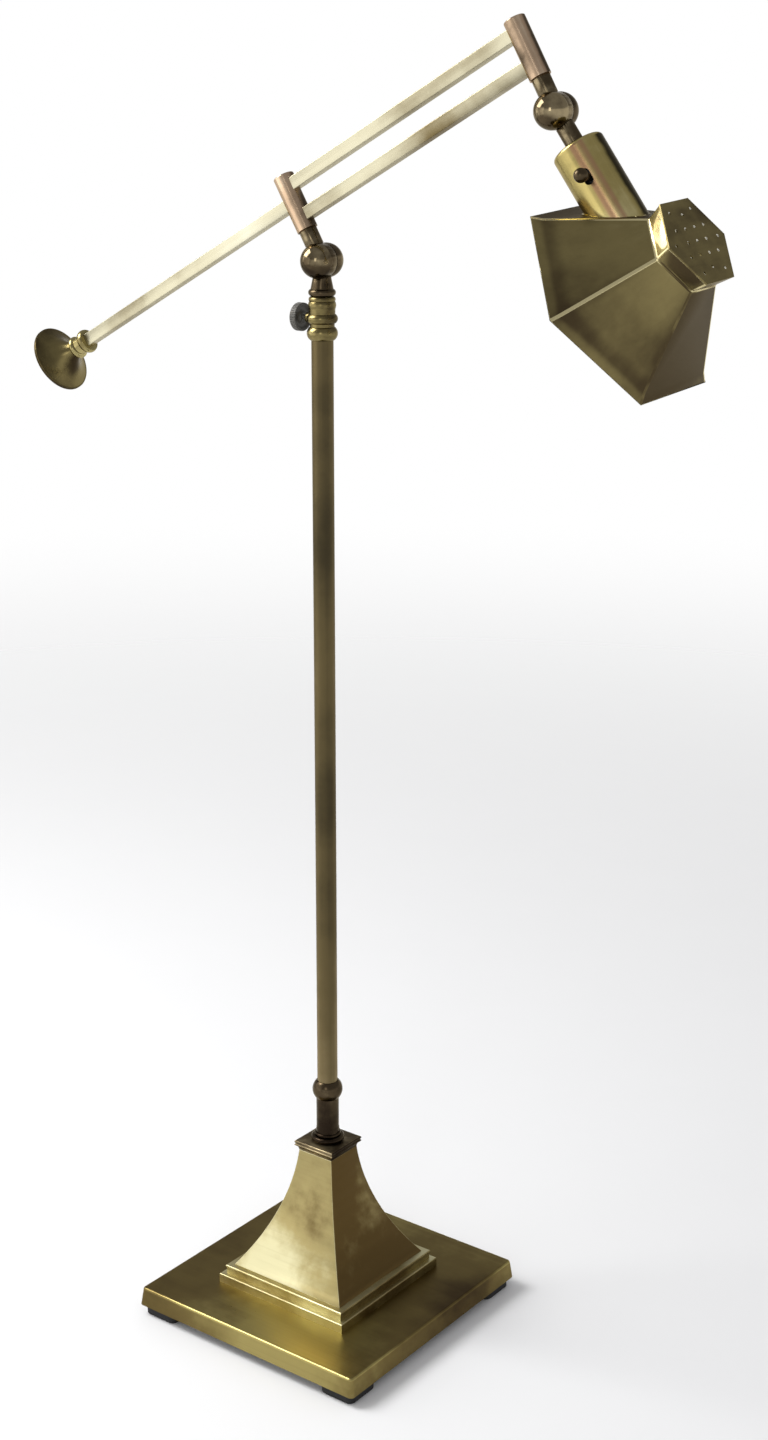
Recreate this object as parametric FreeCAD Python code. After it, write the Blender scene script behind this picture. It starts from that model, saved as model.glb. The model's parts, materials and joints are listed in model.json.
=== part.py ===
"""Bridge floor lamp: square brass base, telescoping column, balanced arm and hexagonal shade.

Millimetres.  Origin: centre of the base, on the floor.  +Z up, +X the way the arm reaches
when it stands in line with the base, -Y the side that shows the knuckles' dome nuts.
Three frames are used: the base frame, the arm frame (origin on the rear pivot, X along the
bars, Z along the posts) and the shade frame (origin on the front pivot, Z along the socket).
"""
import FreeCAD, Part
import math
import os

V = FreeCAD.Vector
X_AXIS, Y_AXIS, Z_AXIS = V(1, 0, 0), V(0, 1, 0), V(0, 0, 1)
diagonal = math.sqrt(0.5)
arc_share = 1 - diagonal    # how far the middle of a quarter round lies from its corner's sides
level_tolerance = 0.01

# ---------------------------------------------------------------- driving dimensions
# Stance in which the lamp stands
arm_turn = 4.9              # arm swivelled about the column, degrees
arm_rise = 29.5             # bars above the horizontal, degrees
socket_lean = 35.8          # socket axis off the vertical, degrees
shade_turn = 7.1            # shade turned on the socket axis, degrees

# Base plate, its weight and its feet
foot_width = 44.0
foot_height = 12.0
foot_corner = 8.0
foot_chamfer = 1.5
foot_inset = 4.0            # foot's edge from the plate's edge
foot_head_bore = 9.0
foot_head_depth = 4.0
screw_diameter = 4.0
screw_head_diameter = 8.0
screw_head_height = 2.6
screw_grip = 10.0           # length in the weight
plate_width = 304.8
plate_height = 21.0
plate_draft = 2.5           # each side leans inwards by this much over the plate's height
plate_corner = 5.0
plate_edge_round = 3.0
plate_skin = 1.5
weight_clearance = 0.3
cord_channel_width = 9.0
cord_channel_height = 12.0

# Lamp pipe that holds the base together
pipe_diameter = 10.0
pipe_bore = 7.0
pipe_fit = 0.1              # radial, pipe in the holes that it passes
pipe_tail = 2.0             # pipe below its nut
nut_flats = 17.0
nut_height = 5.0
nut_gap = 2.0               # pipe's end above the floor side of the weight
washer_diameter = 32.0
washer_thickness = 2.0
washer_pocket_clearance = 2.0

# Cord inlet in the back edge of the base plate
bushing_diameter = 10.0
bushing_bore = 6.5
bushing_flange = 14.0
bushing_flange_thickness = 1.5
bushing_length = 9.0
bushing_fit = 0.1

# Plinth and pyramid
plinth_lower_width = 176.0
plinth_lower_height = 10.5
plinth_upper_width = 166.0
plinth_upper_height = 10.0
plinth_rim = 12.0           # width of the plinth frames
plinth_edge_round = 1.2
plinth_bead_height = 3.0    # thin bead round the top of the upper plinth
plinth_bead_step = 1.0
pyramid_base_width = 151.8
pyramid_top_width = 46.0
pyramid_height = 139.0
pyramid_flare_radius = 286.0
pyramid_wall = 2.0
pyramid_top_thickness = 3.0

# Square cap on the pyramid
cap_width = 53.4
cap_cove_height = 5.2
cap_cove_middle = (0.3, 0.7)       # middle of the cove's arc, as shares across and up
cap_groove_depth = 0.8
cap_ridge_height = 2.2
cap_groove_height = 1.0
cap_top_height = 2.9

# Turned socket at the column's foot
socket_foot_diameter = 37.0
socket_foot_height = 6.6
socket_ring_diameter = 29.5
socket_ring_height = 3.6
socket_cove_height = 7.0
socket_barrel_diameter = 25.0
socket_height = 72.5
socket_bead_diameter = 33.4
socket_bead_height = 21.0
socket_floor = 20.0         # solid foot below the column tube
socket_cove_middle = (0.2, 0.45)   # middle of the cove's arc, as shares across and up

# Column, mast and the collar that clamps the mast
column_diameter = 22.5
column_wall = 1.2
column_top = 1105.0         # above the floor
press_gap = 0.02            # radial, pieces pushed or screwed together
collar_seat = 13.5          # depth of the column in the collar
collar_height = 43.5
collar_lip_diameter = 24.0
collar_bead_diameter = 31.4
collar_groove_diameter = 25.0
collar_band_diameter = 31.6
collar_waist_diameter = 26.4
collar_crown_diameter = 28.2
collar_top_diameter = 23.0
collar_bead_level = 7.4     # levels from the collar's lower lip
collar_groove_level = 13.5
collar_band_start = 16.5
collar_band_end = 26.1
collar_waist_end = 29.1
collar_crown_start = 31.3
collar_crown_end = 38.3
collar_crown_bulge = 0.8
collar_quirk = 0.4          # small step above the crown
collar_top_bulge = 0.5
clamp_height = 1113.0       # thumbscrew's axis above the floor
boss_diameter = 10.0
boss_reach = 19.0           # boss face from the column's axis
boss_root = 1.0             # boss starts this far outside the column
mast_diameter = 16.0
mast_wall = 1.5
mast_length = 430.0
mast_fit = 0.08             # radial, mast in the collar and guide in the column
mast_in_neck = 12.0
guide_length = 25.0
rest_gap = 0.3              # neck above the collar

# Thumbscrew
thumb_shank_diameter = 5.0
thumb_shank_fit = 0.05
thumb_disc_diameter = 28.5
thumb_disc_thickness = 7.5
thumb_disc_face = 24.0      # disc's inner face from the column's axis
thumb_dish_depth = 2.0
thumb_hub_diameter = 9.0
thumb_rim_width = 2.5
thumb_flutes = 36
thumb_flute_radius = 0.7
thumb_flute_offset = 0.2    # flute centres outside the rim
thumb_edge_break = 0.8
thumb_dish_lip = 0.6        # depth of the dish where it meets the rim
thumb_hub_fillet = 2.5
thumb_cover = 1.5           # knob beyond the shank's end
thumb_tip_gap = 0.1

# Neck below the rear knuckle
neck_foot_diameter = 22.4
neck_bead_diameter = 27.8
neck_bead_height = 7.0
neck_waist_diameter = 23.2
neck_top_diameter = 19.0
neck_groove_width = 3.4
neck_groove_depth = 0.7
grub_diameter = 3.0
grub_gap = 0.2
grub_sink = 0.6             # grub screw's head below the bead

# Knuckles
pivot_height = 1170.0       # rear pivot above the floor
knuckle_radius = 17.3
knuckle_dome_offset = 7.9   # dome centres from the stems' plane
knuckle_seam = 1.6          # front face of the friction washer, behind the stems' plane
friction_washer_thickness = 0.8
friction_washer_inset = 0.8
knuckle_face_gap = 0.1
knuckle_sweep_gap = 0.4     # stem over the other half
pivot_bolt_diameter = 8.0
pivot_bolt_fit = 0.06       # radial, running
pivot_bolt_in_cap = 11.0
pivot_bolt_in_rear = 12.0
stem_diameter = 18.5
wire_bore = 6.0
wire_bore_start = 10.0      # from the pivot axis

# Arm
post_spacing = 297.5
post_diameter = 21.5
post_tail = 7.25            # post below the lower bar
post_head = 6.15            # post and cap above the upper bar
post_bore = 14.0
post_cap_thickness = 3.0
post_cap_round = 1.2
bar_height = 12.7
bar_wall = 1.2
bar_corner = 0.8
bar_fit = 0.05
bar_end_from_axis = 3.0     # bar's end from the post's axis
lower_bar_level = 47.6      # bar centre lines, along the post from the pivot
bar_pitch = 32.5

# Counterweight
counter_reach = 361.0       # outer rim from the rear post's axis
bell_diameter = 72.0
bell_rim_bead = 3.4
bell_rim_step = 1.5         # rolled rim stands this far outside the trumpet
bell_length = 27.0
bell_neck_diameter = 16.0
bell_wall = 2.0
bell_flare = 7.0            # sag of the trumpet curve
collar_pocket_depth = 10.0
counter_collar_length = 22.0
counter_flange_diameter = 26.0
counter_flange_width = 6.5
counter_flange_bulge = 1.0
counter_groove_diameter = 19.5
counter_bead_diameter = 24.5
counter_bead_width = 7.0
slug_fit = 0.3
back_cover_thickness = 1.5
counter_bolt_diameter = 6.0
counter_bolt_head = 12.0
counter_bolt_head_height = 3.0
counter_bolt_grip = 9.0

# Shade stem, socket cover and lampholder
shade_stem_diameter = 18.0
cover_top = 38.0            # down the socket axis, from the pivot
cover_diameter = 50.8
cover_wall = 1.2
cover_edge_round = 4.0
cover_length = 94.0
slot_width = 9.0
slot_length = 16.0
nipple_diameter = 10.0
nipple_bore = 7.0
nipple_in_stem = 9.0
cover_nut_flats = 14.0
cover_nut_height = 4.0
holder_gap = 10.0           # lampholder below the cover's top
holder_diameter = 34.0
holder_length = 68.0
holder_floor = 32.0
nipple_in_holder = 5.0
screw_shell_bore = 26.6
screw_shell_wall = 0.5
screw_shell_length = 32.0
contact_diameter = 8.0
contact_thickness = 1.5

# Bulb
bulb_cap_diameter = 26.2
bulb_cap_length = 24.0
bulb_cap_wall = 0.6
bulb_cap_bevel = 2.0
bulb_cap_floor = 1.0        # thickness under the bevel
bulb_tip_height = 2.4
bulb_tip_diameter = 6.0
bulb_diameter = 60.0
bulb_reach = 110.0          # overall length
bulb_glass_wall = 0.8
bulb_neck_diameter = 25.0
bulb_neck_length = 8.0
bulb_neck_in_cap = 4.0

# Switch knob
switch_level = 72.5         # down the socket axis, from the pivot
switch_angle = 10.0         # round the socket from the knuckle's front, degrees
switch_ball_diameter = 13.5
switch_ball_reach = 42.0    # ball's centre from the socket axis
switch_stem_diameter = 5.0
switch_root_diameter = 7.4
switch_root_reach = 28.0
switch_in_holder = 9.0
switch_fit = 0.08
switch_tip_gap = 0.5        # stem's end from the bottom of its hole
switch_root_gap = 0.3       # root off the lampholder

# Shade
shade_drop = 176.0          # shade axis below the front pivot, along the socket axis
shade_plate_reach = 57.0    # perforated plate from the socket axis
shade_plate_corner = 48.0   # hexagon corner radii
shade_neck_corner = 44.0
shade_lip_corner = 106.5
shade_rim_corner = 115.0
shade_neck_length = 18.5    # stations from the perforated plate
shade_lip_station = 94.0
shade_rim_station = 101.0
shade_wall = 1.2
shade_plate_thickness = 1.5
shade_solder_gap = 0.05
vent_diameter = 3.2
vent_rings = ((0.32, 0.0), (0.56, 30.0), (0.745, 0.0))   # share of the corner radius, start angle

# ---------------------------------------------------------------- derived levels
plate_top = foot_height + plate_height
plinth_middle = plate_top + plinth_lower_height
plinth_top = plinth_middle + plinth_upper_height
pyramid_top = plinth_top + pyramid_height
cap_height = cap_cove_height + cap_ridge_height + cap_groove_height + cap_top_height
cap_top = pyramid_top + cap_height
column_bottom = cap_top + socket_floor
collar_bottom = column_top - collar_seat
collar_top = collar_bottom + collar_height
neck_bottom = collar_top + rest_gap
mast_top = neck_bottom + mast_in_neck
mast_bottom = mast_top - mast_length
counter_bar_level = lower_bar_level + bar_pitch / 2
upper_bar_level = lower_bar_level + bar_pitch
post_bottom = lower_bar_level - bar_height / 2 - post_tail
post_top = upper_bar_level + bar_height / 2 + post_head
knuckle_front = -knuckle_dome_offset + knuckle_face_gap
knuckle_rear = knuckle_seam - knuckle_face_gap
half_rear_face = knuckle_seam + friction_washer_thickness
counter_flange_face = counter_reach - bell_length - counter_collar_length


# ---------------------------------------------------------------- helpers
def rod(diameter, start, end, axis=Z_AXIS, at=V(0, 0, 0)):
    """Cylinder between two distances along an axis through a point."""
    return Part.makeCylinder(diameter / 2, end - start, at + axis * start, axis)


def tube(diameter, bore, start, end, axis=Z_AXIS, at=V(0, 0, 0)):
    return rod(diameter, start, end, axis, at).cut(rod(bore, start, end, axis, at))


def block(width, depth, low, high, at=V(0, 0, 0)):
    """Box centred on a point in X and Y, between two heights."""
    return Part.makeBox(width, depth, high - low, at + V(-width / 2, -depth / 2, low))


def outline(start, steps):
    """Closed wire in the XZ plane.  A step is (x, z), or (x, z, x, z) for an arc's middle and end."""
    here = V(start[0], 0, start[1])
    first = here
    edges = []
    for step in steps:
        there = V(step[-2], 0, step[-1])
        if len(step) == 4:
            edges.append(Part.Arc(here, V(step[0], 0, step[1]), there).toShape())
        else:
            edges.append(Part.makeLine(here, there))
        here = there
    if here.distanceToPoint(first) > 1e-6:
        edges.append(Part.makeLine(here, first))
    return Part.Wire(edges)


def turned(start, steps):
    """Body turned about Z from an outline of radii and heights."""
    return Part.Face(outline(start, steps)).revolve(V(0, 0, 0), Z_AXIS, 360)


def squared(start, steps, width):
    """Square body with the same outline on all four sides; the outline starts on the axis."""
    half = Part.Face(outline(start, steps)).extrude(V(0, width, 0))
    half.translate(V(0, -width / 2, 0))
    slab = half.fuse(half.mirror(V(0, 0, 0), X_AXIS)).removeSplitter()
    across = slab.copy()
    across.rotate(V(0, 0, 0), Z_AXIS, 90)
    return slab.common(across).removeSplitter()


def hexagon_prism(flats, low, high, axis=Z_AXIS):
    """Hexagonal prism about an axis, between two distances along it."""
    radius = flats / math.sqrt(3)
    points = [V(radius * math.cos(math.radians(60 * i)), radius * math.sin(math.radians(60 * i)), low)
              for i in range(7)]
    prism = Part.Face(Part.makePolygon(points)).extrude(V(0, 0, high - low))
    prism.Placement = FreeCAD.Placement(V(0, 0, 0), FreeCAD.Rotation(Z_AXIS, axis))
    return prism


def four_corners(shape, offset):
    """Copies of a shape on the four corners of a square."""
    copies = []
    for x in (-offset, offset):
        for y in (-offset, offset):
            copy = shape.copy()
            copy.translate(V(x, y, 0))
            copies.append(copy)
    return Part.makeCompound(copies)


def turned_round(shape, degrees):
    copy = shape.copy()
    copy.rotate(V(0, 0, 0), Z_AXIS, degrees)
    return copy


def neck_frame(shape):
    """From the neck's own frame, whose origin is the rear pivot, to the lamp's."""
    copy = turned_round(shape, arm_turn)
    copy.translate(V(0, 0, pivot_height))
    return copy


def arm_frame(shape):
    """From the arm's frame to the lamp's."""
    copy = shape.copy()
    copy.rotate(V(0, 0, 0), Y_AXIS, -arm_rise)
    return neck_frame(copy)


def shade_frame(shape):
    """From the shade's frame to the lamp's."""
    copy = shape.copy()
    copy.rotate(V(0, 0, 0), Y_AXIS, -socket_lean)
    rise = math.radians(arm_rise)
    copy.translate(V(post_spacing * math.cos(rise), 0, post_spacing * math.sin(rise)))
    return neck_frame(copy)


# ---------------------------------------------------------------- base
def foot_offset():
    return plate_width / 2 - foot_inset - foot_width / 2


def rubber_feet():
    foot = block(foot_width, foot_width, 0, foot_height)
    upright = [e for e in foot.Edges if abs(e.tangentAt(e.FirstParameter).z) > 0.9]
    foot = foot.makeFillet(foot_corner, upright)
    rim = [e for e in foot.Edges if e.BoundBox.ZMax < level_tolerance]
    foot = foot.makeChamfer(foot_chamfer, rim)
    foot = foot.cut(rod(foot_head_bore, 0, foot_head_depth))
    foot = foot.cut(rod(screw_diameter + 2 * pipe_fit, 0, foot_height))
    return four_corners(foot, foot_offset())


def foot_screws():
    head = rod(screw_head_diameter, foot_head_depth - screw_head_height, foot_head_depth)
    shank = rod(screw_diameter, foot_head_depth, foot_height + screw_grip)
    return four_corners(head.fuse(shank).removeSplitter(), foot_offset())


def rounded_square(width, corner, level):
    """Level square wire with rounded corners, centred on the axis."""
    half, flat = width / 2, width / 2 - corner
    middle = half - corner * arc_share
    side = Part.makeLine(V(half, -flat, level), V(half, flat, level))
    bend = Part.Arc(V(half, flat, level), V(middle, middle, level), V(flat, half, level)).toShape()
    edges = []
    for quarter in range(4):
        edges.append(turned_round(side, 90 * quarter))
        edges.append(turned_round(bend, 90 * quarter))
    return Part.Wire(edges)


def plate_side(level):
    """Distance of the plate's slanting side from the axis, at a level."""
    return plate_width / 2 - plate_draft * (level - foot_height) / plate_height


def plate_solid(inset, top):
    """Plate from its underside up to a level, with its sides and corners moved inwards by an inset."""
    rings = [rounded_square(2 * (plate_side(level) - inset), plate_corner - inset, level)
             for level in (foot_height, top)]
    solid = Part.makeLoft(rings, True, True)
    rim = [e for e in solid.Edges if e.BoundBox.ZMin > top - level_tolerance]
    return solid.makeFillet(plate_edge_round - inset, rim)


def base_cover():
    """Pressed brass pan that clads the weight."""
    cover = plate_solid(0.0, plate_top).cut(plate_solid(plate_skin, plate_top - plate_skin))
    cover = cover.cut(rod(pipe_diameter + 2 * pipe_fit, foot_height, plate_top))
    return cover.cut(bushing_hole())


def bushing_level():
    """Height of the cord inlet's axis."""
    return foot_height + cord_channel_height - bushing_diameter / 2 - bushing_fit


def bushing_frame(shape):
    """From the inlet's own frame, whose X runs inwards, to the plate's slanting back edge."""
    copy = shape.copy()
    copy.rotate(V(0, 0, 0), Y_AXIS, math.degrees(math.atan(plate_draft / plate_height)))
    copy.translate(V(-plate_side(bushing_level()), 0, bushing_level()))
    return copy


def bushing_hole():
    diameter = bushing_diameter + 2 * bushing_fit
    return bushing_frame(rod(diameter, -plate_skin, bushing_length + weight_clearance, X_AXIS))


def base_weight():
    """Cast-iron slab with a pocket for the nut, a channel for the cord and room for the inlet."""
    slab = plate_solid(plate_skin + weight_clearance, plate_top - plate_skin)
    slab = slab.cut(rod(pipe_diameter + 2 * pipe_fit, foot_height, plate_top))
    slab = slab.cut(rod(washer_diameter + washer_pocket_clearance, foot_height, pocket_ceiling()))
    channel = block(plate_width / 2, cord_channel_width, foot_height, foot_height + cord_channel_height)
    channel.translate(V(-plate_width / 4, 0, 0))
    slab = slab.cut(channel).cut(bushing_hole())
    holes = four_corners(rod(screw_diameter, foot_height, foot_height + screw_grip), foot_offset())
    return slab.cut(holes)


def pocket_ceiling():
    return foot_height + nut_gap + pipe_tail + nut_height + washer_thickness


def pipe_washer():
    top = pocket_ceiling()
    return tube(washer_diameter, pipe_diameter + 2 * pipe_fit, top - washer_thickness, top)


def pipe_nut():
    top = pocket_ceiling() - washer_thickness
    nut = hexagon_prism(nut_flats, top - nut_height, top)
    return nut.cut(rod(pipe_diameter + 2 * press_gap, top - nut_height, top))


def lamp_pipe():
    """Hollow threaded pipe from the nut under the weight up into the column's socket."""
    return tube(pipe_diameter, pipe_bore, foot_height + nut_gap, column_bottom)


def cord_bushing():
    body = rod(bushing_diameter, 0, bushing_length, X_AXIS)
    flange = rod(bushing_flange, -bushing_flange_thickness, 0, X_AXIS)
    bore = rod(bushing_bore, -bushing_flange_thickness, bushing_length, X_AXIS)
    return bushing_frame(flange.fuse(body).removeSplitter().cut(bore))


def plinth_frame(width, low, high):
    inner = width - 2 * plinth_rim
    return block(width, width, low, high).cut(block(inner, inner, low, high))


def plinth_lower():
    frame = plinth_frame(plinth_lower_width, plate_top, plinth_middle)
    half = plinth_lower_width / 2 - level_tolerance
    rim = [e for e in frame.Edges if e.BoundBox.ZMin > plinth_middle - level_tolerance
           and max(abs(e.BoundBox.XMax), abs(e.BoundBox.YMax), abs(e.BoundBox.XMin)) > half]
    return frame.makeFillet(plinth_edge_round, rim)


def plinth_upper():
    """Upper plinth with a thin bead standing proud round its top."""
    half = plinth_upper_width / 2
    bead_low = plinth_top - plinth_bead_height
    body = squared((0, plinth_middle),
                   [(half - plinth_bead_step, plinth_middle),
                    (half - plinth_bead_step, bead_low),
                    (half, (bead_low + plinth_top) / 2, half - plinth_bead_step, plinth_top),
                    (0, plinth_top)],
                   plinth_upper_width)
    inner = plinth_upper_width - 2 * plinth_rim
    return body.cut(block(inner, inner, plinth_middle, plinth_top))


def flare_half_width(height, offset=0.0):
    """Half-width of the pyramid at a height above its foot, from the circle of its flare.

    The offset moves the face towards the axis, as on the inside of the wall.
    """
    base, top = pyramid_base_width / 2, pyramid_top_width / 2
    middle_x, middle_z = (base + top) / 2, pyramid_height / 2
    chord = math.hypot(base - top, pyramid_height)
    away = math.sqrt(pyramid_flare_radius ** 2 - (chord / 2) ** 2)
    centre_x = middle_x + away * pyramid_height / chord
    centre_z = middle_z + away * (base - top) / chord
    return centre_x - math.sqrt((pyramid_flare_radius + offset) ** 2 - (height - centre_z) ** 2)


def flared_pyramid(height, offset):
    low, mid, high = (flare_half_width(h, offset) for h in (0, height / 2, height))
    return squared((0, plinth_top),
                   [(low, plinth_top),
                    (mid, plinth_top + height / 2, high, plinth_top + height),
                    (0, plinth_top + height)],
                   pyramid_base_width)


def pyramid_shell():
    outer = flared_pyramid(pyramid_height, 0.0)
    inner = flared_pyramid(pyramid_height - pyramid_top_thickness, pyramid_wall)
    shell = outer.cut(inner)
    return shell.cut(rod(pipe_diameter + 2 * pipe_fit, plinth_top, pyramid_top))


def cap_plate():
    """Square cap: a hollow cove up from the pyramid, then an edge with one groove."""
    foot = pyramid_top_width / 2
    half = cap_width / 2
    cove_top = pyramid_top + cap_cove_height
    ridge_top = cove_top + cap_ridge_height
    groove_top = ridge_top + cap_groove_height
    across, up = cap_cove_middle
    cap = squared((0, pyramid_top),
                  [(foot, pyramid_top),
                   (foot + (half - foot) * across, pyramid_top + cap_cove_height * up,
                    half - cap_groove_depth, cove_top),
                   (half, (cove_top + ridge_top) / 2, half - cap_groove_depth, ridge_top),
                   (half - cap_groove_depth, groove_top),
                   (half, (groove_top + cap_top) / 2, half - cap_groove_depth, cap_top),
                   (0, cap_top)],
                  cap_width)
    return cap.cut(rod(pipe_diameter + 2 * pipe_fit, pyramid_top, cap_top))


# ---------------------------------------------------------------- column and collar
def column_socket():
    foot, ring = socket_foot_diameter / 2, socket_ring_diameter / 2
    barrel, bead = socket_barrel_diameter / 2, socket_bead_diameter / 2
    tube_seat = column_diameter / 2 + press_gap
    pipe_seat = pipe_diameter / 2 + press_gap
    foot_top = cap_top + socket_foot_height
    ring_top = foot_top + socket_ring_height
    barrel_low = ring_top + socket_cove_height
    top = cap_top + socket_height
    bead_low = top - socket_bead_height
    foot_step = foot - socket_foot_height / 2
    across, up = socket_cove_middle
    return turned((pipe_seat, cap_top),
                  [(foot_step, cap_top),
                   (foot, cap_top + socket_foot_height / 2, foot_step, foot_top),
                   (ring - socket_ring_height / 2, foot_top),
                   (ring, foot_top + socket_ring_height / 2, ring - socket_ring_height / 2, ring_top),
                   (barrel + (ring - barrel) * across, ring_top + socket_cove_height * up,
                    barrel, barrel_low),
                   (barrel, bead_low),
                   (bead, (bead_low + top) / 2, tube_seat + column_wall / 2, top),
                   (tube_seat, top),
                   (tube_seat, column_bottom),
                   (pipe_seat, column_bottom)])


def column_tube():
    return tube(column_diameter, column_diameter - 2 * column_wall, column_bottom, column_top)


def top_collar():
    """Turned brass collar with a side boss for the thumbscrew."""
    seat = column_diameter / 2 + press_gap
    bore = mast_diameter / 2 + mast_fit
    lip, bead = collar_lip_diameter / 2, collar_bead_diameter / 2
    groove, band = collar_groove_diameter / 2, collar_band_diameter / 2
    waist, crown = collar_waist_diameter / 2, collar_crown_diameter / 2
    crown_edge = crown - collar_crown_bulge
    bead_mid = collar_bottom + collar_bead_level
    groove_level = collar_bottom + collar_groove_level
    band_low = collar_bottom + collar_band_start
    band_high = collar_bottom + collar_band_end
    waist_level = collar_bottom + collar_waist_end
    crown_low = collar_bottom + collar_crown_start
    crown_high = collar_bottom + collar_crown_end
    body = turned((seat, collar_bottom),
                  [(lip, collar_bottom),
                   (bead, bead_mid, groove, groove_level),
                   (groove, band_low),
                   (band, (band_low + band_high) / 2, waist, band_high),
                   (waist, waist_level),
                   (crown_edge, crown_low),
                   (crown, (crown_low + crown_high) / 2, crown_edge, crown_high),
                   (crown_edge - collar_quirk, crown_high + collar_quirk),
                   (crown - collar_top_bulge, (crown_high + collar_top) / 2,
                    collar_top_diameter / 2, collar_top),
                   (bore, collar_top),
                   (bore, column_top),
                   (seat, column_top)])
    boss = rod(boss_diameter, column_diameter / 2 + boss_root, boss_reach, -X_AXIS, V(0, 0, clamp_height))
    hole = rod(thumb_shank_diameter + 2 * thumb_shank_fit, 0, boss_reach, -X_AXIS, V(0, 0, clamp_height))
    return body.fuse(boss).removeSplitter().cut(hole)


def thumbscrew_shank():
    tip = mast_diameter / 2 + mast_fit + thumb_tip_gap
    end = thumb_disc_face + thumb_disc_thickness - thumb_cover
    return rod(thumb_shank_diameter, tip, end, -X_AXIS, V(0, 0, clamp_height))


def thumbscrew_knob():
    """Dished disc with a fluted edge; its dish faces the column."""
    radius, hub = thumb_disc_diameter / 2, thumb_hub_diameter / 2
    bore = thumb_shank_diameter / 2 + press_gap
    shank_end = thumb_disc_thickness - thumb_cover
    edge = radius - thumb_edge_break
    disc = turned((bore, 0),
                  [(hub, 0),
                   (hub + thumb_hub_fillet, thumb_dish_depth, radius - thumb_rim_width, thumb_dish_lip),
                   (edge, 0),
                   (radius, thumb_edge_break),
                   (radius, thumb_disc_thickness - thumb_edge_break),
                   (edge, thumb_disc_thickness),
                   (0, thumb_disc_thickness),
                   (0, shank_end),
                   (bore, shank_end)])
    flute = rod(2 * thumb_flute_radius, 0, thumb_disc_thickness, Z_AXIS, V(radius + thumb_flute_offset, 0, 0))
    flutes = [turned_round(flute, 360.0 * i / thumb_flutes) for i in range(thumb_flutes)]
    disc = disc.cut(Part.makeCompound(flutes))
    disc.rotate(V(0, 0, 0), Y_AXIS, -90)
    disc.translate(V(-thumb_disc_face, 0, clamp_height))
    return disc


def mast_tube():
    """Inner tube; the groove near its top takes the tip of the neck's grub screw."""
    mast = tube(mast_diameter, mast_diameter - 2 * mast_wall, mast_bottom, mast_top)
    low = grub_level() - neck_groove_width / 2
    high = grub_level() + neck_groove_width / 2
    groove = tube(2 * mast_diameter, mast_diameter - 2 * neck_groove_depth, low, high)
    return mast.cut(groove)


def grub_level():
    return neck_bottom + neck_bead_height / 2


def mast_guide():
    """Nylon bush on the foot of the mast, running in the column."""
    outside = column_diameter - 2 * column_wall - 2 * mast_fit
    return tube(outside, mast_diameter + 2 * press_gap, mast_bottom, mast_bottom + guide_length)


# ---------------------------------------------------------------- knuckles
def pivot_hole(diameter, start, end):
    return rod(diameter, start, end, Y_AXIS)


def dome(facing):
    """Half ball on the pivot axis; facing is -1 for the front one and 1 for the rear one."""
    centre = V(0, facing * knuckle_dome_offset, 0)
    ball = Part.makeSphere(knuckle_radius, centre)
    keep = rod(3 * knuckle_radius, 0, 2 * knuckle_radius, Y_AXIS * facing, centre)
    return ball.common(keep)


def sweep_space(start, end):
    """Room round the pivot axis that a stem leaves for the other half."""
    return rod(2 * (knuckle_radius + knuckle_sweep_gap), start, end, Y_AXIS)


def rear_half(stem):
    """Knuckle half with the rear dome; the pivot bolt is screwed into it."""
    reach = 3 * knuckle_radius
    disc = rod(2 * knuckle_radius, half_rear_face, knuckle_dome_offset, Y_AXIS)
    stem = stem.cut(sweep_space(-reach, half_rear_face))
    half = disc.fuse([dome(1), stem]).removeSplitter()
    seat = pivot_bolt_diameter + 2 * press_gap
    return half.cut(pivot_hole(seat, half_rear_face, half_rear_face + pivot_bolt_in_rear))


def front_half(stem):
    """Knuckle half that turns on the pivot bolt, between the friction washer and the dome nut."""
    reach = 3 * knuckle_radius
    disc = rod(2 * knuckle_radius, knuckle_front, knuckle_rear, Y_AXIS)
    stem = stem.cut(sweep_space(-reach, knuckle_front)).cut(sweep_space(knuckle_rear, reach))
    half = disc.fuse(stem).removeSplitter()
    hole = pivot_bolt_diameter + 2 * pivot_bolt_fit
    return half.cut(pivot_hole(hole, knuckle_front, knuckle_rear))


def knuckle_bolt():
    end = half_rear_face + pivot_bolt_in_rear
    return rod(pivot_bolt_diameter, -knuckle_dome_offset - pivot_bolt_in_cap, end, Y_AXIS)


def knuckle_washer():
    outside = 2 * (knuckle_radius - friction_washer_inset)
    return tube(outside, pivot_bolt_diameter + 2 * pivot_bolt_fit, knuckle_seam, half_rear_face, Y_AXIS)


def knuckle_cap():
    start = -knuckle_dome_offset - pivot_bolt_in_cap
    seat = pivot_bolt_diameter + 2 * press_gap
    return dome(-1).cut(pivot_hole(seat, start, -knuckle_dome_offset))


def neck():
    """Turned neck that swivels on the mast and carries the rear half of the lower knuckle."""
    low = neck_bottom - pivot_height
    bead_top = low + neck_bead_height
    shoulder = mast_top - pivot_height
    bore = mast_diameter / 2 + mast_fit
    waist, top = neck_waist_diameter / 2, neck_top_diameter / 2
    stem = turned((0, shoulder),
                  [(bore, shoulder),
                   (bore, low),
                   (neck_foot_diameter / 2, low),
                   (neck_bead_diameter / 2, (low + bead_top) / 2, waist, bead_top),
                   (top, -knuckle_radius),
                   (top, 0),
                   (0, 0)])
    half = rear_half(stem)
    half = half.cut(rod(wire_bore, shoulder, -wire_bore_start))
    level = grub_level() - pivot_height
    return half.cut(rod(grub_diameter + 2 * press_gap, 0, neck_bead_diameter, Y_AXIS, V(0, 0, level)))


def neck_grub():
    """Grub screw whose tip lets the neck turn on the mast but not lift off."""
    tip = mast_diameter / 2 - neck_groove_depth + grub_gap
    return rod(grub_diameter, tip, neck_bead_diameter / 2 - grub_sink, Y_AXIS,
               V(0, 0, grub_level() - pivot_height))


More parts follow.
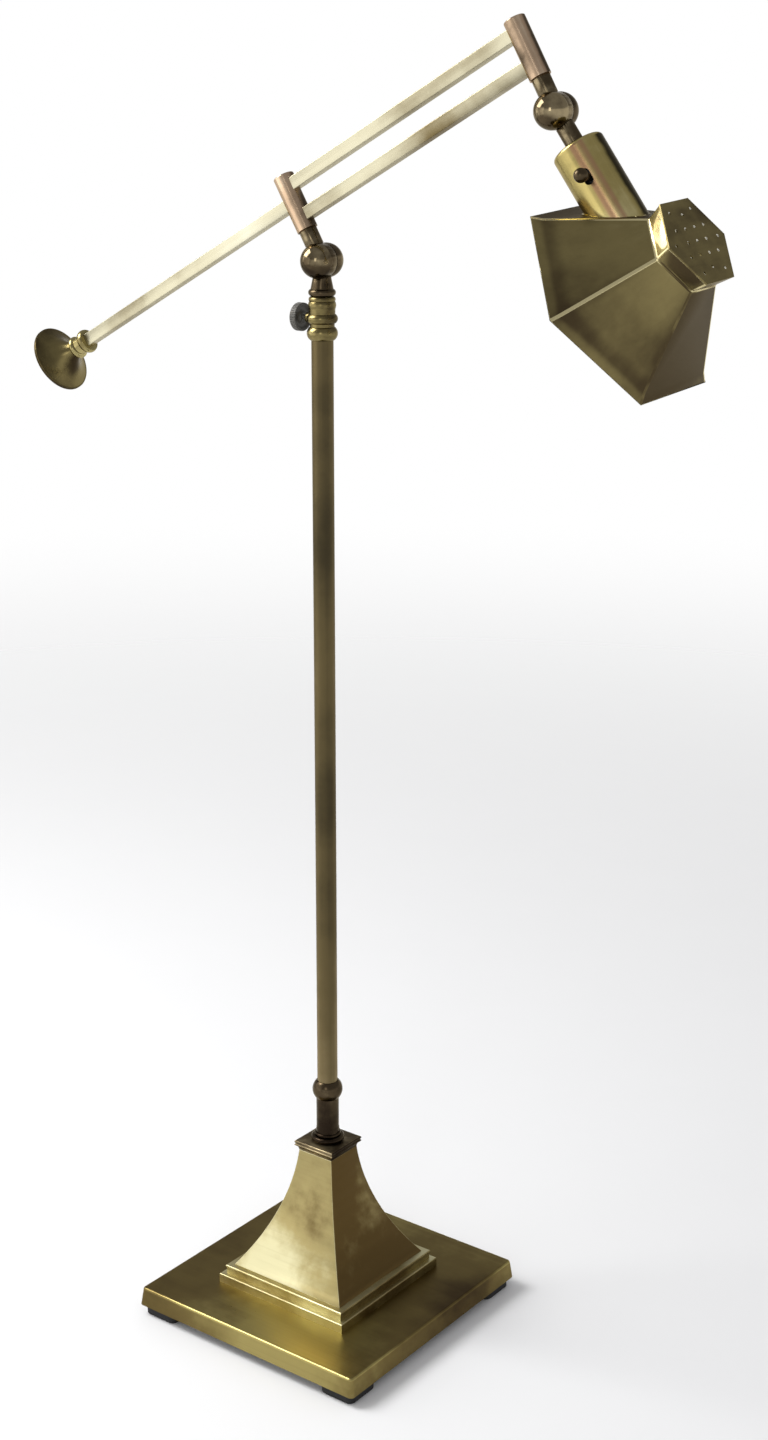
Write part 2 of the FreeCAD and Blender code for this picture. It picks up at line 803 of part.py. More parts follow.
# ---------------------------------------------------------------- arm
def post_stem():
    """Front knuckle half with the stem that is pushed into a post's foot."""
    spigot_top = lower_bar_level - bar_height / 2 - bar_fit
    stem = rod(stem_diameter, 0, post_bottom)
    spigot = rod(post_bore - 2 * press_gap, post_bottom, spigot_top)
    half = front_half(stem.fuse(spigot).removeSplitter())
    return half.cut(rod(wire_bore, wire_bore_start, spigot_top))


def bar_section(low, high, level, size):
    """Square bar along X, between two distances from the rear post."""
    return Part.makeBox(high - low, size, size, V(low, -size / 2, level - size / 2))


def square_bar(low, high, level):
    bar = bar_section(low, high, level, bar_height)
    along = [e for e in bar.Edges if abs(e.tangentAt(e.FirstParameter).x) > 0.9]
    bar = bar.makeFillet(bar_corner, along)
    return bar.cut(bar_section(low, high, level, bar_height - 2 * bar_wall))


def post(pockets):
    """Bored post, closed by its cap; each pocket is (level, direction the bar leaves)."""
    body = tube(post_diameter, post_bore, post_bottom, post_top - post_cap_thickness)
    for level, side in pockets:
        ends = sorted((side * bar_end_from_axis, side * post_diameter))
        body = body.cut(bar_section(ends[0], ends[1], level, bar_height + 2 * bar_fit))
    return body


def post_cap():
    """Turned cap with a spigot into the post's bore."""
    radius, spigot = post_diameter / 2, post_bore / 2 - press_gap
    low = post_top - post_cap_thickness
    spigot_low = upper_bar_level + bar_height / 2 + bar_fit
    return turned((0, spigot_low),
                  [(spigot, spigot_low),
                   (spigot, low),
                   (radius, low),
                   (radius, post_top - post_cap_round),
                   (radius - arc_share * post_cap_round, post_top - arc_share * post_cap_round,
                    radius - post_cap_round, post_top),
                   (0, post_top)])


def at_front_post(shape):
    copy = shape.copy()
    copy.translate(V(post_spacing, 0, 0))
    return copy


def counterweight_axis(shape):
    """From Z along the counter bar, outwards, to the arm's frame; Z counts from the rear post."""
    copy = shape.copy()
    copy.rotate(V(0, 0, 0), Y_AXIS, -90)
    copy.translate(V(0, 0, counter_bar_level))
    return copy


def counterweight_collar():
    """Turned collar whose face is pocketed for the square bar."""
    face = counter_flange_face
    end = face + counter_collar_length
    flange, bead = counter_flange_diameter / 2, counter_bead_diameter / 2
    groove, neck_radius = counter_groove_diameter / 2, bell_neck_diameter / 2
    flange_edge = flange - counter_flange_bulge
    flange_end = face + counter_flange_width
    bead_start = end - counter_bead_width
    body = turned((0, face),
                  [(flange_edge, face),
                   (flange, (face + flange_end) / 2, flange_edge, flange_end),
                   (groove, flange_end),
                   (groove, bead_start),
                   (bead, (bead_start + end) / 2, neck_radius, end),
                   (0, end)])
    size = bar_height + 2 * bar_fit
    body = body.cut(block(size, size, face, face + collar_pocket_depth))
    return counterweight_axis(body.cut(rod(counter_bolt_diameter, end - counter_bolt_grip, end)))


def bell_outline(offset):
    """Start, middle and end of the trumpet curve, moved inwards by an offset."""
    start = counter_reach - bell_length
    end = counter_reach - bell_rim_bead
    inner, outer = bell_neck_diameter / 2, bell_diameter / 2 - bell_rim_step
    middle_radius = (inner + outer) / 2 - bell_flare / 2
    middle = (start + end) / 2 + bell_flare / 4
    return ((inner - offset, start + offset),
            (middle_radius - offset * diagonal, middle + offset * diagonal),
            (outer - offset, end))


def counterweight_bell():
    """Trumpet-shaped brass bell with a rolled rim, open at the wide end."""
    (r0, z0), (r1, z1), (r2, z2) = bell_outline(0)
    (q0, y0), (q1, y1), (q2, _) = bell_outline(bell_wall)
    bolt = counter_bolt_diameter / 2
    rim = bell_diameter / 2
    body = turned((bolt, z0),
                  [(r0, z0),
                   (r1, z1, r2, z2),
                   (rim, z2 + bell_rim_bead / 4, r2, z2 + bell_rim_bead / 2),
                   (rim, z2 + bell_rim_bead * 0.75, r2, counter_reach),
                   (q2, counter_reach),
                   (q2, z2),
                   (q1, y1, q0, y0),
                   (bolt, y0)])
    return counterweight_axis(body)


def slug_back():
    return counter_reach - back_cover_thickness


def head_room_start():
    return slug_back() - counter_bolt_head_height - slug_fit


def counterweight_slug():
    """Iron slug that fills the bell, bored for the bolt and its head."""
    (q0, y0), (q1, y1), (q2, y2) = bell_outline(bell_wall + slug_fit)
    hole = counter_bolt_diameter / 2 + pipe_fit
    slug = turned((hole, y0), [(q0, y0), (q1, y1, q2, y2), (q2, slug_back()), (hole, slug_back())])
    return counterweight_axis(slug.cut(rod(counter_bolt_head + 2 * slug_fit, head_room_start(), slug_back())))


def counterweight_bolt():
    head_start = head_room_start()
    head_end = head_start + counter_bolt_head_height
    tip = counter_flange_face + counter_collar_length - counter_bolt_grip
    head = rod(counter_bolt_head, head_start, head_end)
    return counterweight_axis(head.fuse(rod(counter_bolt_diameter, tip, head_start)).removeSplitter())


def counterweight_back():
    """Thin cover that closes the wide end of the bell."""
    diameter = bell_diameter - 2 * (bell_rim_step + bell_wall + press_gap)
    return counterweight_axis(rod(diameter, counter_reach - back_cover_thickness, counter_reach))


# ---------------------------------------------------------------- socket and lampholder
def shade_stem():
    """Rear knuckle half with the stem that meets the socket cover."""
    stem = rod(shade_stem_diameter, -cover_top, 0)
    half = rear_half(stem)
    seat = rod(nipple_diameter + 2 * press_gap, -cover_top, -cover_top + nipple_in_stem)
    return half.cut(seat).cut(rod(wire_bore, -cover_top, -wire_bore_start))


def socket_cover():
    """Drawn brass cup over the lampholder, with a slot for the switch."""
    radius, hole = cover_diameter / 2, nipple_diameter / 2 + pipe_fit
    bottom = -cover_top - cover_length
    corner = cover_edge_round * arc_share
    inner_round = cover_edge_round - cover_wall
    inner_corner = cover_wall + inner_round * arc_share
    cup = turned((hole, -cover_top),
                 [(radius - cover_edge_round, -cover_top),
                  (radius - corner, -cover_top - corner, radius, -cover_top - cover_edge_round),
                  (radius, bottom),
                  (radius - cover_wall, bottom),
                  (radius - cover_wall, -cover_top - cover_edge_round),
                  (radius - inner_corner, -cover_top - inner_corner,
                   radius - cover_edge_round, -cover_top - cover_wall),
                  (hole, -cover_top - cover_wall)])
    return cup.cut(slot_cutter())


def switch_axis():
    angle = math.radians(switch_angle)
    return V(math.sin(angle), -math.cos(angle), 0)


def slot_cutter():
    """Round-ended slot along the cover, pointing out through one side."""
    axis = switch_axis()
    half = (slot_length - slot_width) / 2
    ends = [rod(slot_width, holder_diameter / 2, cover_diameter, axis, V(0, 0, -switch_level + z))
            for z in (-half, half)]
    middle = Part.makeBox(slot_width, cover_diameter - holder_diameter / 2, 2 * half,
                          V(-slot_width / 2, holder_diameter / 2, -half))
    middle.rotate(V(0, 0, 0), Z_AXIS, 180 + switch_angle)
    middle.translate(V(0, 0, -switch_level))
    return ends[0].fuse([ends[1], middle])


def cover_nipple():
    start = -cover_top - holder_gap - nipple_in_holder
    return tube(nipple_diameter, nipple_bore, start, -cover_top + nipple_in_stem)


def cover_nut():
    top = -cover_top - cover_wall
    nut = hexagon_prism(cover_nut_flats, top - cover_nut_height, top)
    return nut.cut(rod(nipple_diameter + 2 * press_gap, top - cover_nut_height, top))


def holder_levels():
    """Top, floor and mouth of the lampholder, along Z."""
    top = -cover_top - holder_gap
    return top, top - holder_floor, top - holder_length


def lampholder_body():
    """Insulating body: nipple socket on top, switch in the middle, screw shell below."""
    top, floor, mouth = holder_levels()
    body = rod(holder_diameter, mouth, top)
    body = body.cut(rod(nipple_diameter + 2 * press_gap, top - nipple_in_holder, top))
    body = body.cut(rod(wire_bore, floor, top))
    bore = screw_shell_bore + 2 * screw_shell_wall + 2 * press_gap
    body = body.cut(rod(bore, mouth, floor))
    stem_hole = rod(switch_stem_diameter + 2 * switch_fit, switch_in_holder, holder_diameter,
                    switch_axis(), V(0, 0, -switch_level))
    return body.cut(stem_hole)


def lampholder_shell():
    floor = holder_levels()[1]
    outside = screw_shell_bore + 2 * screw_shell_wall
    return tube(outside, screw_shell_bore, floor - screw_shell_length, floor)


def lampholder_contact():
    floor = holder_levels()[1]
    return rod(contact_diameter, floor - contact_thickness, floor)


def bulb_tip():
    """Where the bulb's end contact meets the lampholder's."""
    return holder_levels()[1] - contact_thickness


def bulb_cap():
    """Screw cap of the bulb, drawn without its thread."""
    outer, inner = bulb_cap_diameter / 2, bulb_cap_diameter / 2 - bulb_cap_wall
    tip = bulb_tip()
    shoulder = tip - bulb_tip_height
    inside = shoulder - bulb_cap_bevel - bulb_cap_floor
    return turned((0, tip),
                  [(bulb_tip_diameter / 2, tip),
                   (outer - bulb_cap_bevel, shoulder),
                   (outer, shoulder - bulb_cap_bevel),
                   (outer, tip - bulb_cap_length),
                   (inner, tip - bulb_cap_length),
                   (inner, inside),
                   (0, inside)])


def bulb_curve(offset):
    """Neck radius, neck end, tangent point and pole of the bulb, moved inwards by an offset."""
    radius = bulb_diameter / 2
    centre = bulb_tip() - bulb_reach + radius
    neck_radius = bulb_neck_diameter / 2
    neck_end = bulb_tip() - bulb_cap_length - bulb_neck_length
    rise = neck_end - centre
    away = math.hypot(neck_radius, rise)
    angle = math.atan2(neck_radius, rise) + math.acos(radius / away)
    inner = radius - offset
    half_way = (angle + math.pi) / 2
    return (neck_radius - offset, neck_end,
            (inner * math.sin(angle), centre + inner * math.cos(angle)),
            (inner * math.sin(half_way), centre + inner * math.cos(half_way)),
            centre - inner)


def bulb_glass():
    start = bulb_tip() - bulb_cap_length + bulb_neck_in_cap
    neck_out, end_out, touch_out, side_out, pole_out = bulb_curve(0.0)
    neck_in, end_in, touch_in, side_in, pole_in = bulb_curve(bulb_glass_wall)
    return turned((neck_in, start),
                  [(neck_out, start),
                   (neck_out, end_out),
                   touch_out,
                   (*side_out, 0, pole_out),
                   (0, pole_in),
                   (*side_in, *touch_in),
                   (neck_in, end_in)])


def switch_knob():
    """Ball-ended turn knob on its stem."""
    stem = rod(switch_stem_diameter, switch_in_holder + switch_tip_gap, switch_ball_reach)
    root = rod(switch_root_diameter, holder_diameter / 2 + switch_root_gap, switch_root_reach)
    ball = Part.makeSphere(switch_ball_diameter / 2, V(0, 0, switch_ball_reach))
    knob = stem.fuse([root, ball]).removeSplitter()
    knob.rotate(V(0, 0, 0), X_AXIS, 90)
    knob.rotate(V(0, 0, 0), Z_AXIS, switch_angle)
    knob.translate(V(0, 0, -switch_level))
    return knob


# ---------------------------------------------------------------- shade
def hexagon(corner, level):
    """Hexagonal wire with two corners on the Y axis."""
    points = [V(corner * math.sin(math.radians(60 * i)), corner * math.cos(math.radians(60 * i)), level)
              for i in range(7)]
    return Part.makePolygon(points)


def shade_solid(inset):
    """Neck, cone and lip of the shade as one solid; the inset moves its corners inwards."""
    stations = ((shade_plate_thickness, shade_plate_corner),
                (shade_neck_length, shade_neck_corner),
                (shade_lip_station, shade_lip_corner),
                (shade_rim_station, shade_rim_corner))
    rings = [hexagon(corner - inset, -station) for station, corner in stations]
    return Part.makeLoft(rings, True, True)


def in_shade(shape):
    """From Z along the shade's axis, towards its plate, to the shade frame."""
    copy = shape.copy()
    copy.rotate(V(0, 0, 0), Y_AXIS, 90)
    copy.translate(V(shade_plate_reach, 0, -shade_drop))
    return turned_round(copy, -shade_turn)


def shade_shell():
    """Sheet-brass shade with a hole for the socket cover in its upper panel."""
    spread = (shade_lip_corner - shade_neck_corner) / (shade_lip_station - shade_neck_length)
    slope = math.atan(spread * math.cos(math.radians(30)))
    inset = shade_wall / math.cos(slope) / math.cos(math.radians(30))
    shell = shade_solid(0.0).cut(shade_solid(inset))
    shell = in_shade(shell)
    hole = rod(cover_diameter + 2 * shade_solder_gap, -cover_top - cover_length - shade_wall, -cover_top)
    return shell.cut(hole)


def shade_end_plate():
    """Hexagonal plate with vent holes, flush over the end of the neck."""
    plate = Part.Face(hexagon(shade_plate_corner, 0)).extrude(V(0, 0, -shade_plate_thickness))
    holes = [rod(vent_diameter, -shade_plate_thickness, 0)]
    for share, start in vent_rings:
        ring = share * shade_plate_corner
        for i in range(6):
            angle = math.radians(90 + start + 60 * i)
            at = V(ring * math.cos(angle), ring * math.sin(angle), 0)
            holes.append(rod(vent_diameter, -shade_plate_thickness, 0, Z_AXIS, at))
    return in_shade(plate.cut(Part.makeCompound(holes)))


# ---------------------------------------------------------------- assembly
def right_bar(level):
    return square_bar(bar_end_from_axis, post_spacing - bar_end_from_axis, level)


def counter_bar():
    return square_bar(-counter_flange_face - collar_pocket_depth, -bar_end_from_axis, counter_bar_level)


def nodes():
    base = {
        "rubber_feet": rubber_feet(),
        "foot_screws": foot_screws(),
        "base_cover": base_cover(),
        "base_weight": base_weight(),
        "pipe_washer": pipe_washer(),
        "pipe_nut": pipe_nut(),
        "lamp_pipe": lamp_pipe(),
        "cord_bushing": cord_bushing(),
        "plinth_lower": plinth_lower(),
        "plinth_upper": plinth_upper(),
        "pyramid_shell": pyramid_shell(),
        "cap_plate": cap_plate(),
        "column_socket": column_socket(),
        "column_tube": column_tube(),
        "top_collar": top_collar(),
        "thumbscrew_shank": thumbscrew_shank(),
        "thumbscrew_knob": thumbscrew_knob(),
        "mast_tube": mast_tube(),
        "mast_guide": mast_guide(),
    }
    on_neck = {
        "neck": neck(),
        "neck_grub": neck_grub(),
        "rear_knuckle_bolt": knuckle_bolt(),
        "rear_knuckle_washer": knuckle_washer(),
        "rear_knuckle_cap": knuckle_cap(),
    }
    rear_pockets = [(lower_bar_level, 1), (upper_bar_level, 1), (counter_bar_level, -1)]
    front_pockets = [(lower_bar_level, -1), (upper_bar_level, -1)]
    on_arm = {
        "rear_post_stem": post_stem(),
        "rear_post": post(rear_pockets),
        "rear_post_cap": post_cap(),
        "lower_bar": right_bar(lower_bar_level),
        "upper_bar": right_bar(upper_bar_level),
        "front_post_stem": at_front_post(post_stem()),
        "front_post": at_front_post(post(front_pockets)),
        "front_post_cap": at_front_post(post_cap()),
        "counter_bar": counter_bar(),
        "counterweight_collar": counterweight_collar(),
        "counterweight_bell": counterweight_bell(),
        "counterweight_slug": counterweight_slug(),
        "counterweight_bolt": counterweight_bolt(),
        "counterweight_back": counterweight_back(),
    }
    on_shade = {
        "shade_stem": shade_stem(),
        "front_knuckle_bolt": knuckle_bolt(),
        "front_knuckle_washer": knuckle_washer(),
        "front_knuckle_cap": knuckle_cap(),
        "socket_cover": socket_cover(),
        "cover_nipple": cover_nipple(),
        "cover_nut": cover_nut(),
        "lampholder_body": lampholder_body(),
        "lampholder_shell": lampholder_shell(),
        "lampholder_contact": lampholder_contact(),
        "bulb_cap": bulb_cap(),
        "bulb_glass": bulb_glass(),
        "switch_knob": switch_knob(),
        "shade_shell": shade_shell(),
        "shade_end_plate": shade_end_plate(),
    }
    parts = dict(base)
    parts.update({name: neck_frame(shape) for name, shape in on_neck.items()})
    parts.update({name: arm_frame(shape) for name, shape in on_arm.items()})
    parts.update({name: shade_frame(shape) for name, shape in on_shade.items()})
    return parts


def main():
    os.makedirs("parts", exist_ok=True)
    for name, shape in nodes().items():
        print(name, len(shape.Solids), shape.isValid(), round(shape.Volume, 1))
        shape.exportStep("parts/" + name + ".step")


main()
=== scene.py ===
"""Finishes and stage for a brass bridge floor lamp.

The lamp's pieces come from the frame.  This file gives each its aged brass, bronze, rubber or
glass, softens the edges of the folded and cast ones, and sets the stage and the camera.
Lengths are in metres in the frame's own axes: +Z up, -Y the side with the knuckles' dome nuts.
"""

import json
import math

import bmesh
import bpy
from mathutils import Euler, Matrix, Vector


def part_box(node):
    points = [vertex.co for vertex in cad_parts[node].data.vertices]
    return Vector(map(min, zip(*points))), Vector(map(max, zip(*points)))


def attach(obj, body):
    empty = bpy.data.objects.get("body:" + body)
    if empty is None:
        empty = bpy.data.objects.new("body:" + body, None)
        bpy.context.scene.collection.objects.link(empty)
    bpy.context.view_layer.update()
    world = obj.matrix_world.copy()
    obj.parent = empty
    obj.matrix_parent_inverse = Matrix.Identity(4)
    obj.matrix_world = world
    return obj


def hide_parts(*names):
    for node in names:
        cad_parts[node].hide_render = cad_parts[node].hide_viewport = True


bl_info = {
    "name": "Bridge floor lamp finishes",
    "version": (1, 0),
    "blender": (4, 5, 0),
    "location": "3D View > Sidebar > Lamp",
    "description": "Aged-brass finishes and a studio for a bridge floor lamp",
    "category": "Object",
}

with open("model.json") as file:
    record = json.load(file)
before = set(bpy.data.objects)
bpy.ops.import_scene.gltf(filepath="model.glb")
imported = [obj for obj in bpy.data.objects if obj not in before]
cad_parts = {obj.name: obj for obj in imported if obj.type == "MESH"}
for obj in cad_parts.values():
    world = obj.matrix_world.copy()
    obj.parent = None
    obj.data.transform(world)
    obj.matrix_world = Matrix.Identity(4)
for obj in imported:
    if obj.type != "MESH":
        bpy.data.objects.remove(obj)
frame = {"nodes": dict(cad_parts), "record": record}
joints = {joint["name"]: joint for joint in frame["record"]["behaviour"]["joints"]}
bodies = frame["record"]["behaviour"]["bodies"]
body_of_node = {node: body for body, nodes in bodies.items() for node in nodes}


# ---------------------------------------------------------------- directions of the pieces
WORLD_AXES = (Vector((1, 0, 0)), Vector((0, 1, 0)), Vector((0, 0, 1)))
RIGHT = (1, 0, 0)
UP = (0, 0, 1)
DOWN = (0, 0, -1)
# The column's front gets painted shade
COLUMN_FRONT = (0.6, -0.8, 0.0)     # the side of the column that looks out between the two axes
FAR_RIGHT = (0.8, 0.6, 0.0)         # the shaded side of the posts and the socket cover
COVER_FRONT = (0.31, -0.9, 0.33)    # the side of the socket cover beside its switch
# The shade's right panel, right fold and neck bend get painted shade
RIGHT_PANEL = (0.95, 0.0, -0.32)    # the shade's panel on the right
RIGHT_FOLD = (0.92, -0.39, -0.2)    # the fold between its lower and its right panel
NECK_BEND = (0.52, -0.82, -0.27)    # the bend between its lower panel and its neck
SHADE_TURN = math.radians(7.1)      # turn of the shade on the socket cover's axis

knuckle_axis = Vector(joints["arm_tilt"]["axis"])
rear_pivot = Vector(joints["arm_tilt"]["pos_m"])
front_pivot = Vector(joints["head_tilt"]["pos_m"])
switch_centre = Vector(joints["switch_turn"]["pos_m"])


def turned_axes(toward):
    """Two unit vectors square to a direction, and the direction itself last."""
    axis = toward.normalized()
    side = knuckle_axis.normalized()
    return side.cross(axis).normalized(), side, axis


# The last of each three axes runs along the bars, the posts or the socket cover
arm_line = (front_pivot - rear_pivot).normalized()
bar_axes = turned_axes(arm_line)
post_axes = turned_axes(knuckle_axis.cross(arm_line))
head_axes = turned_axes(front_pivot - switch_centre)

# The way that the shade's end plate looks, and the side of the shade with the dome nuts
shade_way = head_axes[1] * math.sin(SHADE_TURN) - head_axes[0] * math.cos(SHADE_TURN)
shade_side = shade_way.cross(head_axes[2])

# ---------------------------------------------------------------- fixed numbers
SEAM_GAP = 1e-6                     # metres; points nearer than this are one
FLAT_TURN = math.radians(0.4)       # faces that turn less are one flat face
CRISP_TURN = math.radians(28)       # edges that turn more stay crisp after the softening
RIM_TURN = 75.0                     # degrees; edges that turn more are the cut rims of a sheet
SMALL_BEVEL = 0.0004                # metres; on the cast and turned pieces
BAR_BEVEL = 0.001
PYRAMID_BEVEL = 0.0012
THREAD_PITCH = 0.0036               # metres; the rolled thread of the bulb's cap

WALL_WHITE = (1.0, 1.0, 1.0, 1.0)
CEILING_GREY = (0.42, 0.42, 0.43, 1.0)
CEILING_EDGE = (0.14, 0.3)          # rise of a look at which the wall ends and the ceiling begins
ENAMEL = ((238, 236, 228), (224, 220, 208))
ENAMEL_EDGE = 0.004                 # metres either side of the change from enamel to brass
FLOOR_SIDES = 96
FLOOR_MARGIN = 1.1                  # radius of the floor over the distance where it has faded out
LAMP_AIM = Vector((0.05, 0.0, 0.6))
LAMPS = (                           # name, place, width and height, share of the key's power
    ("key_lamp", (-1.6, -0.9, 2.5), (1.3, 1.3), 1.0),
    ("side_lamp", (-2.1, -2.6, 1.3), (2.8, 2.4), 0.3),
    ("window_lamp", (-3.2, -1.1, 1.7), (0.8, 1.6), 0.12),
    ("front_lamp", (1.3, -2.9, 1.9), (0.7, 1.1), 0.09),
)
SENSOR_WIDTH = 36.0                 # millimetres
CAMERA_SHIFT = (-0.0080, -0.0136)   # shares of the frame's longer side
CAMERA_REACH = 60.0                 # metres; things further off aren't drawn


# ---------------------------------------------------------------- shader arithmetic
class Value:
    """A socket of a finish that takes part in Python arithmetic."""

    def __init__(self, finish, socket):
        self.finish = finish
        self.socket = socket

    def maths(self, operation, first, second):
        """Value of a Math node on two values or numbers."""
        return self.finish.node("ShaderNodeMath", {"operation": operation}, {0: first, 1: second})

    def __add__(self, other):
        return self.maths("ADD", self, other)

    def __radd__(self, other):
        return self.maths("ADD", other, self)

    def __sub__(self, other):
        return self.maths("SUBTRACT", self, other)

    def __rsub__(self, other):
        return self.maths("SUBTRACT", other, self)

    def __mul__(self, other):
        return self.maths("MULTIPLY", self, other)

    def __rmul__(self, other):
        return self.maths("MULTIPLY", other, self)


class NodeWork:
    """The calls that lay out the nodes of a material or of the room."""

    def __init__(self, tree):
        self.tree = tree

    def node(self, kind, settings, inputs, output=0):
        """Adds a node: its settings first, then the values or links of its sockets."""
        node = self.tree.nodes.new(kind)
        for key, setting in settings.items():
            setattr(node, key, setting)
        for key, value in inputs.items():
            self.fill(node.inputs[key], value)
        return Value(self, node.outputs[output])

    def fill(self, socket, value):
        """Links a value to a socket, or writes a number, vector or colour into it."""
        if isinstance(value, Value):
            self.tree.links.new(value.socket, socket)
        else:
            socket.default_value = value

    def mix(self, factor, first, second):
        """Colour between two others."""
        # The node repeats its sockets' names for each type, so its colours go by number
        return self.node("ShaderNodeMix", {"data_type": "RGBA"},
                         {0: factor, 6: first, 7: second}, 2)

    def step(self, value, low, high):
        """0 below low, 1 above high, smooth between."""
        return self.node("ShaderNodeMapRange", {"interpolation_type": "SMOOTHSTEP"},
                         {"Value": value, "From Min": low, "From Max": high})

    def noise(self, point, scale=1.0, detail=3.0, rough=0.55):
        """Soft random value from about 0 to 1; the scale is in cells to a metre."""
        return self.node("ShaderNodeTexNoise", {},
                         {"Vector": point, "Scale": scale, "Detail": detail, "Roughness": rough})

    def dot(self, point, axis):
        """Distance of a point along a direction."""
        return self.node("ShaderNodeVectorMath", {"operation": "DOT_PRODUCT"},
                         {0: point, 1: axis if isinstance(axis, Value) else tuple(axis)}, "Value")

    def near(self, point, centre, reach):
        """1 at a place, fading to 0 at the reach."""
        away = self.node("ShaderNodeVectorMath", {"operation": "DISTANCE"},
                         {0: point, 1: tuple(centre)}, "Value")
        return self.step(away, reach, 0.0)


class Finish(NodeWork):
    """A material, its shader and the coordinates of the piece that it covers."""

    def __init__(self, name):
        self.material = bpy.data.materials.new(name)
        self.material.use_nodes = True
        super().__init__(self.material.node_tree)
        self.shader = self.tree.nodes["Principled BSDF"]
        self.here = self.node("ShaderNodeTexCoord", {}, {}, "Object")
        self.facing = self.node("ShaderNodeTexCoord", {}, {}, "Normal")

    def set(self, **values):
        """Fills sockets of the shader, by their names with underscores for spaces."""
        for key, value in values.items():
            self.fill(self.shader.inputs[key.replace("_", " ")], value)

    def place(self, axes):
        """Position on the piece, measured along three axes."""
        if axes is WORLD_AXES:
            return self.here
        parts = [self.dot(self.here, axis) for axis in axes]
        return self.node("ShaderNodeCombineXYZ", {}, {0: parts[0], 1: parts[1], 2: parts[2]})

    def stretched(self, point, stretch, shift=(0.0, 0.0, 0.0)):
        """Position multiplied along each axis and moved, for a noise with a direction."""
        return self.node("ShaderNodeMapping", {},
                         {"Vector": point, "Scale": stretch, "Location": shift})

    def bump(self, height, distance, strength):
        """Normal of a surface whose height follows a value, up to a distance in metres."""
        return self.node("ShaderNodeBump", {},
                         {"Height": height, "Distance": distance, "Strength": strength})


def srgb(red, green, blue):
    """Linear colour from a colour as a screen shows it, 0 to 255."""
    def linear(level):
        level = level / 255
        return level / 12.92 if level <= 0.04045 else ((level + 0.055) / 1.055) ** 2.4
    return (linear(red), linear(green), linear(blue))


def opaque(colour):
    """Colour with full alpha, as a shader's socket takes it."""
    return tuple(colour) + (1.0,)


# ---------------------------------------------------------------- settings
def colour_setting(name, description, default):
    """Colour that a user can change."""
    return bpy.props.FloatVectorProperty(name=name, description=description, default=default,
                                         subtype="COLOR", size=3, min=0.0, max=1.0)


def metal_settings(metal, light, mid, dark):
    """Three colours of one metal: rubbed, aged, and dark under its patina."""
    tones = {"_light": (", rubbed", "Where it is rubbed", light),
             "_mid": ("", "Over most of it", mid),
             "_dark": (", dark", "Under heavy patina", dark)}
    title = metal.capitalize()
    return {metal + tone: colour_setting(title + label, description, srgb(*colour))
            for tone, (label, description, colour) in tones.items()}


class LampFinishSettings(bpy.types.PropertyGroup):
    """Colours and surface of the lamp's metals."""

    __annotations__ = {
        **metal_settings("plate", (164, 150, 94), (112, 97, 58), (66, 52, 32)),
        **metal_settings("pyramid", (208, 201, 160), (164, 150, 102), (92, 74, 42)),
        **metal_settings("column", (136, 121, 88), (100, 88, 60), (64, 57, 41)),
        **metal_settings("turned", (182, 170, 118), (122, 110, 72), (58, 48, 32)),
        **metal_settings("bar", (210, 206, 184), (192, 186, 160), (112, 98, 66)),
        **metal_settings("bronze", (150, 136, 106), (78, 67, 50), (42, 34, 26)),
        **metal_settings("post", (232, 212, 184), (190, 164, 136), (76, 65, 52)),
        **metal_settings("cover", (212, 199, 144), (172, 156, 98), (48, 43, 27)),
        # The shade's rubbed colour is also the painted highlight on its folds and its neck's left
        # facet
        **metal_settings("shade", (222, 209, 160), (130, 118, 78), (72, 61, 42)),
        "copper": colour_setting("Copper blush", "Where the plating shows copper",
                                 srgb(176, 132, 104)),
        "grazing": colour_setting("Grazing tint", "Tint of the metals seen edge-on",
                                  (0.82, 0.78, 0.7)),
        "edge_width": bpy.props.FloatProperty(
            name="Fold width", description="Width of the shade's softened folds",
            default=0.00176, unit="LENGTH", min=0.0),
        "grain_pitch": bpy.props.FloatProperty(
            name="Grain pitch", description="Spacing of the brush marks",
            default=0.0025, unit="LENGTH", min=0.0001),
    }


class LampStageSettings(bpy.types.PropertyGroup):
    """Camera, lamps and floor."""

    lens: bpy.props.FloatProperty(
        name="Lens", description="Focal length on a 36 mm frame",
        default=53.91, subtype="DISTANCE_CAMERA")
    camera_place: bpy.props.FloatVectorProperty(
        name="Camera", description="Place of the camera",
        default=(1.3675, -1.6997, 1.3516), subtype="TRANSLATION", unit="LENGTH")
    camera_turn: bpy.props.FloatProperty(
        name="Turn", description="Camera's turn about the vertical",
        default=math.radians(36.864), subtype="ANGLE")
    camera_dip: bpy.props.FloatProperty(
        name="Dip", description="Camera's dip below the level",
        default=math.radians(16.284), subtype="ANGLE")
    camera_roll: bpy.props.FloatProperty(
        name="Roll", description="Camera's roll about its view",
        default=math.radians(0.152), subtype="ANGLE")
    floor_colour: colour_setting("Floor", "Colour of the floor", (0.96, 0.96, 0.96))
    floor_reach: bpy.props.FloatProperty(
        name="Floor reach", description="Where the floor has faded out",
        default=4.5, unit="LENGTH")
    key_power: bpy.props.FloatProperty(
        name="Key", description="Power of the key lamp, which the others share",
        default=64.0, unit="POWER")


# ---------------------------------------------------------------- aged metals
# Levels of the patina or of a noise at which a colour starts to change and has changed
AGED_LEVEL = (0.26, 0.52)
DARK_LEVEL = (0.5, 0.82)
COPPER_LEVEL = (0.46, 0.6)
BRUSH_LEVEL = (0.45, 0.8)
SPECK_LEVEL = (0.71, 0.75)

